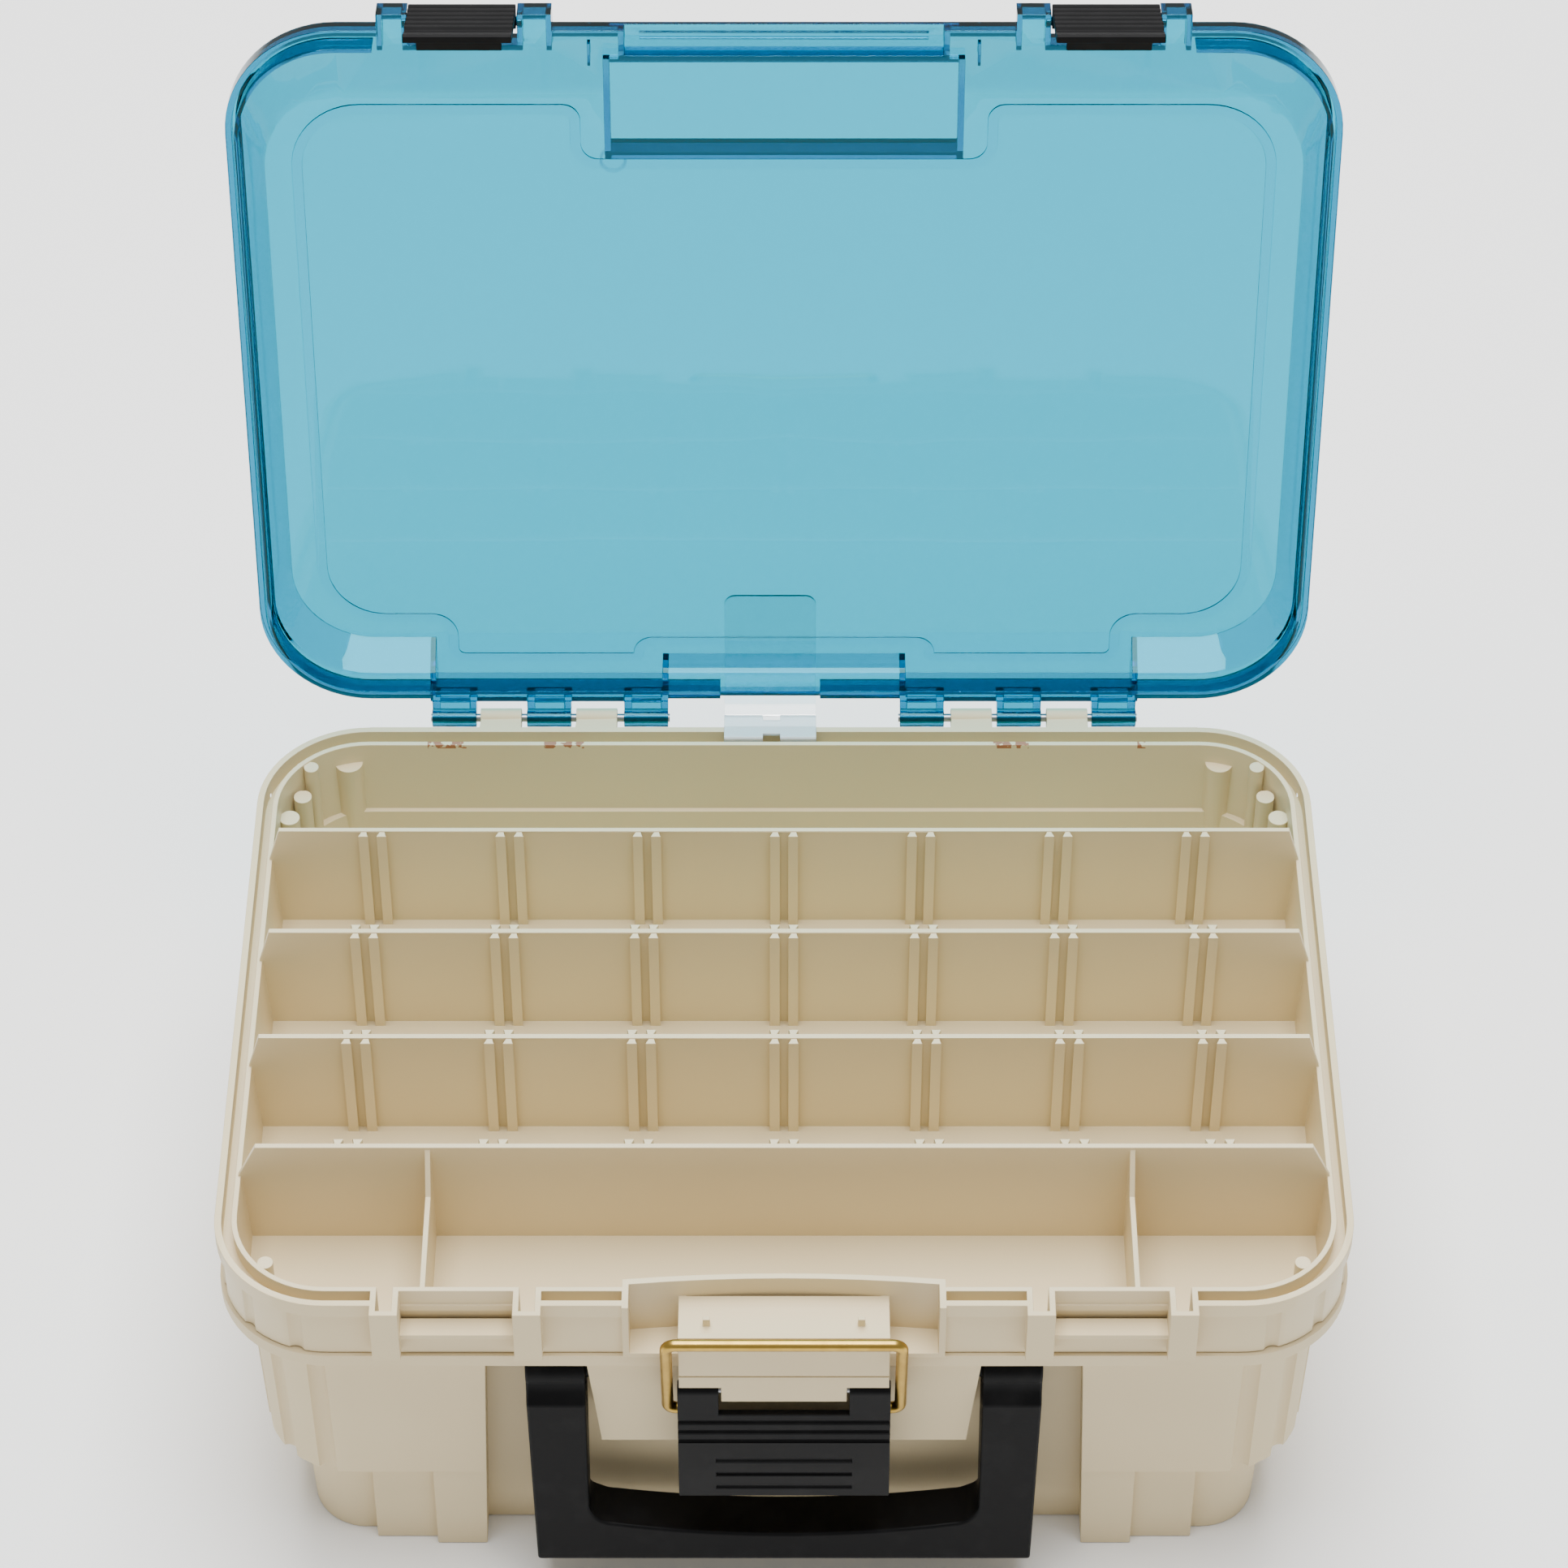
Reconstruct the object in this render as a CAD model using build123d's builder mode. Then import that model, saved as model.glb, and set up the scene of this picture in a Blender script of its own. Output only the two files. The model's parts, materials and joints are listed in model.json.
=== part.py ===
"""Two-level tackle box with a clear lid, as separate solids in one frame.

The origin is on the floor under the middle of the box. X runs to the right, Y to the rear
and Z up. The lid stands open in the rest pose, and every lid piece is modelled closed and
then turned about the lid hinge. Lengths are in millimetres and angles in degrees.
"""

import os
from math import atan2, cos, degrees, radians, sin

from build123d import *

os.makedirs("parts", exist_ok=True)

# Rim and levels
RIM_WIDTH = 375.0
RIM_DEPTH = 268.0
RIM_RADIUS = 38.0
RIM_TOP = 140.0
RIM_LIP_HEIGHT = 5.9
SEAM = 114.4
SEAM_GAP = 0.5
HALF_WIDTH = RIM_WIDTH / 2
FRONT = -RIM_DEPTH / 2
REAR = RIM_DEPTH / 2
MOVING_GAP = 0.4

# Tray rim
OUTER_LIP = 2.35
GROOVE_WIDTH = 3.2
GROOVE_DEPTH = 7.0
INNER_LIP = 1.85
BAND_INSET = 1.2
SKIRT_WALL = 2.2
RIM_WEB = 3.0
FRONT_GROOVE_EXTRA = 0.6
REAR_GROOVE_EXTRA = 1.8

# Tray tub
TUB_DRAFT = 3.1
TRAY_FLOOR = 109.4
TRAY_FLOOR_WALL = 1.6
WELL_FLOOR = 80.0
WELL_WALL = 1.7
WELL_HALF_WIDTH = 173.5
WELL_REAR = 121.5
WELL_REAR_RADIUS = 26.0
WELL_FRONT_RADIUS = 6.0
WELL_RIB_TOP = 132.0
WELL_RIBS = [(157.0, 124.0, 5.0), (176.5, 96.0, 3.6), (172.5, 106.5, 3.2)]
ROW_WALL = 1.8
ROW_WALL_FACES = [-79.0, -30.3, 18.4, 67.1]
ROW_WALL_RISE = 14.5
FRONT_WALL_TOP_HALF = 174.5
ROW_WALL_TOP_HALF = 176.9
SLOT_PITCH = 48.0
SLOT_PAIRS = 7
SLOT_RIB_SPACING = 6.4
SLOT_RIB_ROOT = 1.4
SLOT_RIB_TIP = 3.6
SLOT_RIB_DEPTH = 2.3
BIN_DIVIDERS = [-117.6, 115.0]
BIN_DIVIDER_BREAK = -88.0
PEG_RADIUS = 2.65
PEG_TOP = 139.4
PEG_X = 169.5
PEG_Y = [-115.3, 114.2]

# Tray front
RECESS_HALF_WIDTH = 50.5
RECESS_Y = FRONT + 9.0
RECESS_BOW = 2.5
RECESS_WALL = 2.2
RECESS_FLOOR_WALL = 2.0
LATCH_CENTRE = 106.6
LATCH_WIDTH = 35.6
POST_WIDTH = 9.2
POST_FRONT = FRONT - 4.1
POST_BOTTOM = 116.6
POST_WALL = 2.0
POCKET_BACK = FRONT + 5.9
POCKET_FLOOR = 126.4
CATCH_EDGE = FRONT - 1.3
CATCH_THICKNESS = 2.0
HOOK_HALF_WIDTH = 34.4
HOOK_FRONT = FRONT - 8.9
HOOK_TOP = 134.3
HOOK_SEAT = 132.3
HOOK_WALL = 2.0

# Lower shell
FLANGE_BOTTOM = 108.8
BODY_HALF_WIDTH = 178.9
BODY_FRONT = FRONT + 6.0
BODY_REAR = REAR - 6.5
BODY_RADIUS = 33.0
BODY_DRAFT = 2.0
BODY_WALL = 2.3
FLARE_HEIGHT = 6.0
FLARE_OUT = 5.2
BODY_CORNER_INSET = 39.2
PLINTH_TOP = 41.0
PLINTH_HALF_WIDTH = 164.0
PLINTH_FRONT = FRONT + 14.8
PLINTH_REAR = REAR - 12.0
PLINTH_RADIUS = 20.0
FLOOR_WALL = 2.4
LEG_FRONT = FRONT + 9.3
LEG_OUTER = 119.1
PANEL_FRONT = FRONT + 12.1
PANEL_OUTER = 140.0
BAY_HALF_WIDTH = 98.5
BAY_BACK = FRONT + 17.4
BAY_CEILING = 105.4
BOSS_HALF_WIDTH = 65.0
BOSS_FRONT = FRONT + 2.6
BOSS_BOTTOM = 66.0
FLUTE_ANGLES = [16.0, 45.0, 74.0]
FLUTE_RADIUS = 3.6

# Hinges
LID_AXIS_Y = 141.0
LID_AXIS_Z = 138.0
LEVEL_AXIS_Y = 138.5
LEVEL_AXIS_Z = SEAM
PIN_RADIUS = 1.5
PIN_FIT = 0.04
LID_PIN_ENDS = (41.4, 127.8)
LEVEL_PIN_ENDS = (36.0, 124.0)
KNUCKLE_RADIUS = 3.4
TRAY_KNUCKLES = [67.8, 102.4]
TRAY_KNUCKLE_WIDTH = 14.8
LID_CLIPS = [49.9, 85.0, 119.3]
LID_CLIP_WIDTH = 16.0
LID_OPEN = 99.1
LEVEL_TRAY_KNUCKLES = [62.0, 98.0]
LEVEL_BASE_KNUCKLES = [44.0, 80.0, 116.0]
LEVEL_KNUCKLE_WIDTH = 16.0
LEVEL_KNUCKLE_RADIUS = 3.2

# Lid, in its closed position
LID_BOTTOM = RIM_TOP + 0.3
LID_WALL = 2.0
LID_SKIRT_WALL = 2.2
LID_FRONT = FRONT - 1.3
LID_REAR = REAR + 0.3
LID_RADIUS = 38.5
FLANGE_TOP = 147.0
PANEL_TOP = 158.0
DOME_ROOT_HALF = 182.3
DOME_ROOT_FRONT = -131.3
DOME_ROOT_REAR = 126.3
PANEL_HALF = 176.7
PANEL_EDGE_FRONT = -104.0
PANEL_EDGE_REAR = 117.7
HINGE_BLOCK_REAR = LID_AXIS_Y - 5.5
HINGE_BLOCK_INNER = 42.0
HINGE_BLOCK_OUTER = 128.0
CENTRE_BLOCK_REAR = 127.0
LID_POCKET_HALF = 58.5
LID_POCKET_FRONT = -120.0
LID_POCKET_REAR = -86.0
LID_POCKET_FLOOR = 148.0
HOUSING_TOP = 149.0
HOUSING_INNER = 77.0
HOUSING_OUTER = 135.1
LATCH_GAP_BACK = -130.0
LUG_FRONT = -141.2
LUG_WALL = 1.8
TONGUE_WALL = 1.4
TONGUE_DROP = 3.0
FINGER_LIP_HALF = 53.0
FINGER_WALL_Y = -126.0
BEAD_WIDTH = 3.5
BEAD_HEIGHT = 0.6

# Latches, in the snapped position
TRUNNION_Y = -137.0
TRUNNION_Z = 144.0
TRUNNION_RADIUS = 1.5
LATCH_REST = 8.0
LATCH_PLATE_BACK = -139.2
LATCH_PLATE = 2.2
LATCH_TOP = 146.0
LATCH_BOTTOM = 113.0
LATCH_RIBS = 6
LATCH_RIB_PITCH = 4.1
LATCH_RIB_RISE = 1.2
LATCH_RIB_ROOT = 3.8
LATCH_RIB_CREST = 1.6
NOSE_TIP = -134.2

# Draw latch
LEVER_HALF_WIDTH = 35.0
LEVER_PIN_Y = -140.5
LEVER_PIN_Z = 105.0
LEVER_PIN_RADIUS = 1.25
LEVER_PIN_HALF = 34.2
LEVER_EAR_RADIUS = 3.0
LEVER_BOTTOM = 54.0
LEVER_PLATE = 2.6
LEVER_CHEEK = 4.0
NOTCH_HALF_WIDTH = 21.5
NOTCH_BOTTOM = 96.0
BAIL_PIVOT_Y = -138.7
BAIL_PIVOT_Z = 93.0
BAIL_LENGTH = 41.2
BAIL_LEAN = 9.2
BAIL_HALF_WIDTH = 38.35
BAIL_JOURNAL = 31.2
BAIL_BEND = 3.2
WIRE_RADIUS = 2.0
WIRE_SIDES = 12

# Carrying handle
HANDLE_PIVOT_Y = -125.0
HANDLE_PIVOT_Z = 97.5
HANDLE_HALF_WIDTH = 85.7
HANDLE_FOOT_HALF = 83.4
HANDLE_OPENING_HALF = 65.5
HANDLE_HEAD_RADIUS = 6.5
HANDLE_BOTTOM = 15.0
GRIP_FRONT = -144.0
GRIP_REAR = -126.0
GRIP_CORNER_TOP = 42.0
GRIP_SIDE_TOP = 33.6
GRIP_MIDDLE_TOP = 28.6
HANDLE_PIN_END = 60.6
TRUNNION_PIN_RADIUS = 3.5

# Strap
STRAP_LEFT = -21.6
STRAP_RIGHT = 11.6
STRAP_THICKNESS = 1.2
STRAP_WINDOW_LEFT = -7.6
STRAP_WINDOW_RIGHT = -1.4

LID_AXIS = Axis((0, LID_AXIS_Y, LID_AXIS_Z), (1, 0, 0))
TRUNNION_AXIS = Axis((0, TRUNNION_Y, TRUNNION_Z), (1, 0, 0))


def down(z):
    """Plane at height z that faces the floor, so that sketches extrude downwards."""
    return Plane(origin=(0, 0, z), x_dir=(1, 0, 0), z_dir=(0, 0, -1))


def block(x0, x1, y0, y1, z0, z1, mode=Mode.ADD):
    """Box between six limits."""
    with Locations(((x0 + x1) / 2, (y0 + y1) / 2, (z0 + z1) / 2)):
        Box(abs(x1 - x0), abs(y1 - y0), abs(z1 - z0), mode=mode)


def block_pair(x0, x1, y0, y1, z0, z1, mode=Mode.ADD):
    """The same box on the right and on the left."""
    block(x0, x1, y0, y1, z0, z1, mode)
    block(-x1, -x0, y0, y1, z0, z1, mode)


def prism(half_width, front, rear, radius, top, height, taper=0.0, mode=Mode.ADD):
    """Rounded rectangle in plan, from the height top downwards, with draft."""
    with BuildSketch(down(top)) as outline:
        with Locations((0, -(front + rear) / 2)):
            RectangleRounded(2 * half_width, rear - front, radius)
    extrude(outline.sketch, amount=height, taper=taper, mode=mode)


def well_prism(half_width, front, rear, inset, top, height, mode=Mode.ADD):
    """Plan of the rear well, whose rear corners follow the rounder corners of the body."""
    with BuildSketch(down(top)) as outline:
        with Locations((0, -(front + rear) / 2)):
            Rectangle(2 * half_width, rear - front)
        fillet(outline.vertices().sort_by(Axis.Y)[:2], WELL_REAR_RADIUS - inset)
        fillet(outline.vertices().sort_by(Axis.Y)[-2:], WELL_FRONT_RADIUS - inset)
    extrude(outline.sketch, amount=height, taper=TUB_DRAFT, mode=mode)


def profile(points, x0, x1, mode=Mode.ADD):
    """Side outline given as (y, z) points, extruded from x0 to x1."""
    with BuildSketch(Plane.YZ.offset(x0)) as outline:
        with BuildLine():
            Polyline(*points, close=True)
        make_face()
    extrude(outline.sketch, amount=x1 - x0, mode=mode)


def elevation(points, y0, y1, mode=Mode.ADD):
    """Front outline given as (x, z) points, extruded from y0 to y1."""
    with BuildSketch(Plane(origin=(0, y0, 0), x_dir=(1, 0, 0), z_dir=(0, -1, 0))) as outline:
        with BuildLine():
            Polyline(*points, close=True)
        make_face()
    extrude(outline.sketch, amount=-(y1 - y0), mode=mode)


def rod(y, z, radius, x0, x1, mode=Mode.ADD):
    """Cylinder along X between x0 and x1."""
    with Locations(Location(((x0 + x1) / 2, y, z), (0, 90, 0))):
        Cylinder(radius, abs(x1 - x0), mode=mode)


def rod_pair(y, z, radius, x0, x1, mode=Mode.ADD):
    """The same cylinder on the right and on the left."""
    rod(y, z, radius, x0, x1, mode)
    rod(y, z, radius, -x1, -x0, mode)


def recess_region(offset, z):
    """Plan of the front recess at height z, with its bowed back edge moved rearwards."""
    half = RECESS_HALF_WIDTH + offset
    back = RECESS_Y + offset
    with BuildSketch(Plane.XY.offset(z)) as region:
        with BuildLine():
            Polyline((half, back), (half, FRONT - 1), (-half, FRONT - 1), (-half, back))
            ThreePointArc((-half, back), (0, back + RECESS_BOW), (half, back))
        make_face()
    return region.sketch


def dovetail(sign):
    """Plan of one slot rib, growing along Y with the given sign."""
    root, tip = SLOT_RIB_ROOT / 2, SLOT_RIB_TIP / 2
    depth = sign * (SLOT_RIB_DEPTH + 0.2)
    return [(-root, 0), (root, 0), (tip, depth), (-tip, depth)]


TUB_TOP_HALF = HALF_WIDTH - OUTER_LIP - GROOVE_WIDTH
TUB_TOP_FRONT = FRONT + OUTER_LIP + GROOVE_WIDTH + FRONT_GROOVE_EXTRA
TUB_TOP_REAR = REAR - OUTER_LIP - GROOVE_WIDTH - REAR_GROOVE_EXTRA
TUB_RADIUS = RIM_RADIUS - OUTER_LIP - GROOVE_WIDTH
INNER_HALF = TUB_TOP_HALF - INNER_LIP
INNER_FRONT = TUB_TOP_FRONT + INNER_LIP
INNER_REAR = TUB_TOP_REAR - INNER_LIP
LATCH_INNER = LATCH_CENTRE - LATCH_WIDTH / 2
LATCH_OUTER = LATCH_CENTRE + LATCH_WIDTH / 2
POSTS = [
    (LATCH_INNER - 2 * MOVING_GAP - POST_WIDTH, LATCH_INNER - 2 * MOVING_GAP),
    (LATCH_OUTER + 2 * MOVING_GAP, LATCH_OUTER + 2 * MOVING_GAP + POST_WIDTH),
]
WALL_TOP = RIM_TOP + ROW_WALL_RISE
TRAY_BOTTOM = SEAM + SEAM_GAP / 2
FLANGE_TOP_OF_BASE = SEAM - SEAM_GAP / 2

# Hollow of the tub and the well, with the corner pegs and half-round ribs left standing
with BuildPart() as tub_hollow:
    prism(INNER_HALF, INNER_FRONT, INNER_REAR, TUB_RADIUS - INNER_LIP, RIM_TOP + 0.01,
          RIM_TOP - TRAY_FLOOR + 0.01, TUB_DRAFT)
    well_prism(WELL_HALF_WIDTH, ROW_WALL_FACES[3] + ROW_WALL, WELL_REAR, WELL_WALL,
               TRAY_FLOOR + 0.1, TRAY_FLOOR + 0.1 - WELL_FLOOR)
    for side in (1, -1):
        for y in PEG_Y:
            with Locations((side * PEG_X, y, (PEG_TOP + TRAY_FLOOR) / 2)):
                Cylinder(PEG_RADIUS, PEG_TOP - TRAY_FLOOR, mode=Mode.SUBTRACT)
        for x, y, radius in WELL_RIBS:
            with Locations((side * x, y, (WELL_RIB_TOP + WELL_FLOOR) / 2)):
                Cylinder(radius, WELL_RIB_TOP - WELL_FLOOR, mode=Mode.SUBTRACT)

# Tray shell: rim, skirt, tub, well, rows and hinge knuckles
with BuildPart() as tray_shell:
    prism(HALF_WIDTH, FRONT, REAR, RIM_RADIUS, RIM_TOP, RIM_LIP_HEIGHT)
    prism(HALF_WIDTH - BAND_INSET, FRONT + BAND_INSET, REAR - BAND_INSET,
          RIM_RADIUS - BAND_INSET, RIM_TOP - RIM_LIP_HEIGHT,
          RIM_TOP - RIM_LIP_HEIGHT - TRAY_BOTTOM)
    for side_x in (1, -1):
        for side_y in (1, -1):
            for angle in FLUTE_ANGLES:
                cx = side_x * (HALF_WIDTH - RIM_RADIUS + (RIM_RADIUS + 1.2) * cos(radians(angle)))
                cy = side_y * (REAR - RIM_RADIUS + (RIM_RADIUS + 1.2) * sin(radians(angle)))
                with Locations((cx, cy, (TRAY_BOTTOM + RIM_TOP - RIM_LIP_HEIGHT) / 2)):
                    Cylinder(FLUTE_RADIUS, RIM_TOP - RIM_LIP_HEIGHT - TRAY_BOTTOM,
                             mode=Mode.SUBTRACT)
    prism(HALF_WIDTH - OUTER_LIP, FRONT + OUTER_LIP, REAR - OUTER_LIP, RIM_RADIUS - OUTER_LIP,
          RIM_TOP, GROOVE_DEPTH, mode=Mode.SUBTRACT)
    prism(HALF_WIDTH - BAND_INSET - SKIRT_WALL, FRONT + BAND_INSET + SKIRT_WALL,
          REAR - BAND_INSET - SKIRT_WALL, RIM_RADIUS - BAND_INSET - SKIRT_WALL,
          RIM_TOP - GROOVE_DEPTH - RIM_WEB, 40, mode=Mode.SUBTRACT)
    prism(TUB_TOP_HALF, TUB_TOP_FRONT, TUB_TOP_REAR, TUB_RADIUS, RIM_TOP,
          RIM_TOP - TRAY_FLOOR + TRAY_FLOOR_WALL, TUB_DRAFT)
    well_prism(WELL_HALF_WIDTH + WELL_WALL, ROW_WALL_FACES[3], WELL_REAR + WELL_WALL, 0,
               TRAY_FLOOR, TRAY_FLOOR - WELL_FLOOR + WELL_WALL)
    # Latch pockets and posts
    for inner, outer in POSTS:
        block_pair(inner, outer, POST_FRONT, INNER_FRONT - 1, POST_BOTTOM, RIM_TOP)
    block_pair(POSTS[0][1], POSTS[1][0], CATCH_EDGE, POCKET_BACK,
               POCKET_FLOOR - CATCH_THICKNESS, POCKET_FLOOR)
    block_pair(POSTS[0][1], POSTS[1][0], FRONT - 10, POCKET_BACK, POCKET_FLOOR, RIM_TOP + 1,
               mode=Mode.SUBTRACT)
    add(tub_hollow.part, mode=Mode.SUBTRACT)
    for inner, outer in POSTS:
        block_pair(inner + POST_WALL, outer - POST_WALL, POST_FRONT + POST_WALL,
                   INNER_FRONT + 1, POST_BOTTOM + POST_WALL, RIM_TOP + 1, mode=Mode.SUBTRACT)
    # Bowed wall and floor of the front recess
    extrude(recess_region(RECESS_WALL, TRAY_BOTTOM), amount=RIM_TOP - TRAY_BOTTOM)
    extrude(recess_region(0, TRAY_BOTTOM + RECESS_FLOOR_WALL), amount=RIM_TOP - TRAY_BOTTOM,
            mode=Mode.SUBTRACT)
    # Row walls, with chamfered ends above the rim
    for number, face in enumerate(ROW_WALL_FACES):
        top_half = FRONT_WALL_TOP_HALF if number == 0 else ROW_WALL_TOP_HALF
        elevation([(-179.2, TRAY_FLOOR - 1), (179.2, TRAY_FLOOR - 1), (INNER_HALF + 0.9, RIM_TOP),
                   (top_half, WALL_TOP), (-top_half, WALL_TOP), (-INNER_HALF - 0.9, RIM_TOP)],
                  face, face + ROW_WALL)
    # Dovetail ribs that hold loose dividers
    rib_x = [(pair - (SLOT_PAIRS - 1) / 2) * SLOT_PITCH + side * SLOT_RIB_SPACING
             for pair in range(SLOT_PAIRS) for side in (-0.5, 0.5)]
    with BuildSketch(Plane.XY.offset(TRAY_FLOOR - 0.5)) as ribs:
        with Locations(*[(x, face + 0.2) for x in rib_x for face in ROW_WALL_FACES[1:]]):
            Polygon(*dovetail(-1), align=None)
        with Locations(*[(x, face + ROW_WALL - 0.2) for x in rib_x for face in ROW_WALL_FACES[:3]]):
            Polygon(*dovetail(1), align=None)
    extrude(ribs.sketch, amount=WALL_TOP - TRAY_FLOOR + 0.2)
    # Fixed dividers of the front bins, rising to the first row wall
    for x in BIN_DIVIDERS:
        profile([(INNER_FRONT - 1, TRAY_FLOOR - 1), (ROW_WALL_FACES[0] + 0.5, TRAY_FLOOR - 1),
                 (ROW_WALL_FACES[0] + 0.5, WALL_TOP - 0.3), (BIN_DIVIDER_BREAK, RIM_TOP),
                 (INNER_FRONT - 1, RIM_TOP)], x - ROW_WALL / 2, x + ROW_WALL / 2)
    # Hook block for the bail
    block(-HOOK_HALF_WIDTH, HOOK_HALF_WIDTH, HOOK_FRONT, RECESS_Y + 1.5, HOOK_SEAT - HOOK_WALL,
          HOOK_SEAT)
    block(-HOOK_HALF_WIDTH, HOOK_HALF_WIDTH, HOOK_FRONT, HOOK_FRONT + HOOK_WALL, TRAY_BOTTOM,
          HOOK_TOP)
    block_pair(HOOK_HALF_WIDTH - HOOK_WALL, HOOK_HALF_WIDTH, HOOK_FRONT, RECESS_Y + 1.5,
               TRAY_BOTTOM, HOOK_SEAT)
    block_pair(24.0, 26.4, FRONT - 2.4, FRONT - 0.8, HOOK_SEAT, HOOK_SEAT + 3.4)
    # Knuckles of the lid hinge
    for x in TRAY_KNUCKLES:
        x0, x1 = x - TRAY_KNUCKLE_WIDTH / 2, x + TRAY_KNUCKLE_WIDTH / 2
        block_pair(x0, x1, REAR - 1.0, LID_AXIS_Y, RIM_TOP - RIM_LIP_HEIGHT + 0.4, RIM_TOP - 0.1)
        rod_pair(LID_AXIS_Y, LID_AXIS_Z, KNUCKLE_RADIUS, x0, x1)
    rod_pair(LID_AXIS_Y, LID_AXIS_Z, PIN_RADIUS + PIN_FIT, 30, 140, mode=Mode.SUBTRACT)
    # Knuckles of the hinge between the two levels
    for x in LEVEL_TRAY_KNUCKLES:
        x0, x1 = x - LEVEL_KNUCKLE_WIDTH / 2, x + LEVEL_KNUCKLE_WIDTH / 2
        block_pair(x0, x1, REAR - BAND_INSET - 1.0, LEVEL_AXIS_Y, TRAY_BOTTOM,
                   LEVEL_AXIS_Z + LEVEL_KNUCKLE_RADIUS)
        rod_pair(LEVEL_AXIS_Y, LEVEL_AXIS_Z, LEVEL_KNUCKLE_RADIUS, x0, x1)
    rod_pair(LEVEL_AXIS_Y, LEVEL_AXIS_Z, PIN_RADIUS + PIN_FIT, 30, 140, mode=Mode.SUBTRACT)


# Outer body of the lower shell, before it is hollowed
with BuildPart() as body_outer:
    prism(BODY_HALF_WIDTH, BODY_FRONT, BODY_REAR, BODY_RADIUS, FLANGE_BOTTOM,
          FLANGE_BOTTOM - PLINTH_TOP, BODY_DRAFT)
    prism(PLINTH_HALF_WIDTH, PLINTH_FRONT, PLINTH_REAR, PLINTH_RADIUS, PLINTH_TOP + 0.5,
          PLINTH_TOP + 0.5, BODY_DRAFT)
    block_pair(BAY_HALF_WIDTH, LEG_OUTER, LEG_FRONT, PLINTH_FRONT + 6, 0, PLINTH_TOP + 1)
    block_pair(LEG_OUTER - 1, PANEL_OUTER, PANEL_FRONT, PLINTH_FRONT + 6, 0, PLINTH_TOP + 1)
    # Flared shoulder under the flange
    prism(BODY_HALF_WIDTH + FLARE_OUT, BODY_FRONT - FLARE_OUT, BODY_REAR + FLARE_OUT,
          BODY_RADIUS + FLARE_OUT, FLANGE_BOTTOM, FLARE_HEIGHT,
          degrees(atan2(FLARE_OUT, FLARE_HEIGHT)))
    for side_x in (1, -1):
        for side_y in (1, -1):
            for angle in FLUTE_ANGLES:
                c, d = cos(radians(angle)) * side_x, sin(radians(angle)) * side_y
                cx = side_x * (BODY_HALF_WIDTH - BODY_RADIUS) + (BODY_RADIUS + 1.4) * c
                cy = side_y * (REAR - BODY_CORNER_INSET) + (BODY_RADIUS + 1.4) * d
                lean = radians(BODY_DRAFT)
                groove = Plane(origin=(cx, cy, FLANGE_BOTTOM - FLARE_HEIGHT + 1),
                               z_dir=(-c * sin(lean), -d * sin(lean), -cos(lean)))
                with BuildSketch(groove) as flute:
                    Circle(FLUTE_RADIUS)
                extrude(flute.sketch, amount=80, mode=Mode.SUBTRACT)

# Wall of the handle bay, limited to the inside of the body
with BuildPart() as bay_wall:
    with BuildSketch(down(BAY_CEILING + 2.0)) as bay_plan:
        with Locations((0, -(BAY_BACK + BODY_WALL) + 20)):
            Rectangle(2 * (BAY_HALF_WIDTH + BODY_WALL), 40)
    extrude(bay_plan.sketch, amount=BAY_CEILING + 2.0, taper=-BODY_DRAFT)
    add(body_outer.part, mode=Mode.INTERSECT)

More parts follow.
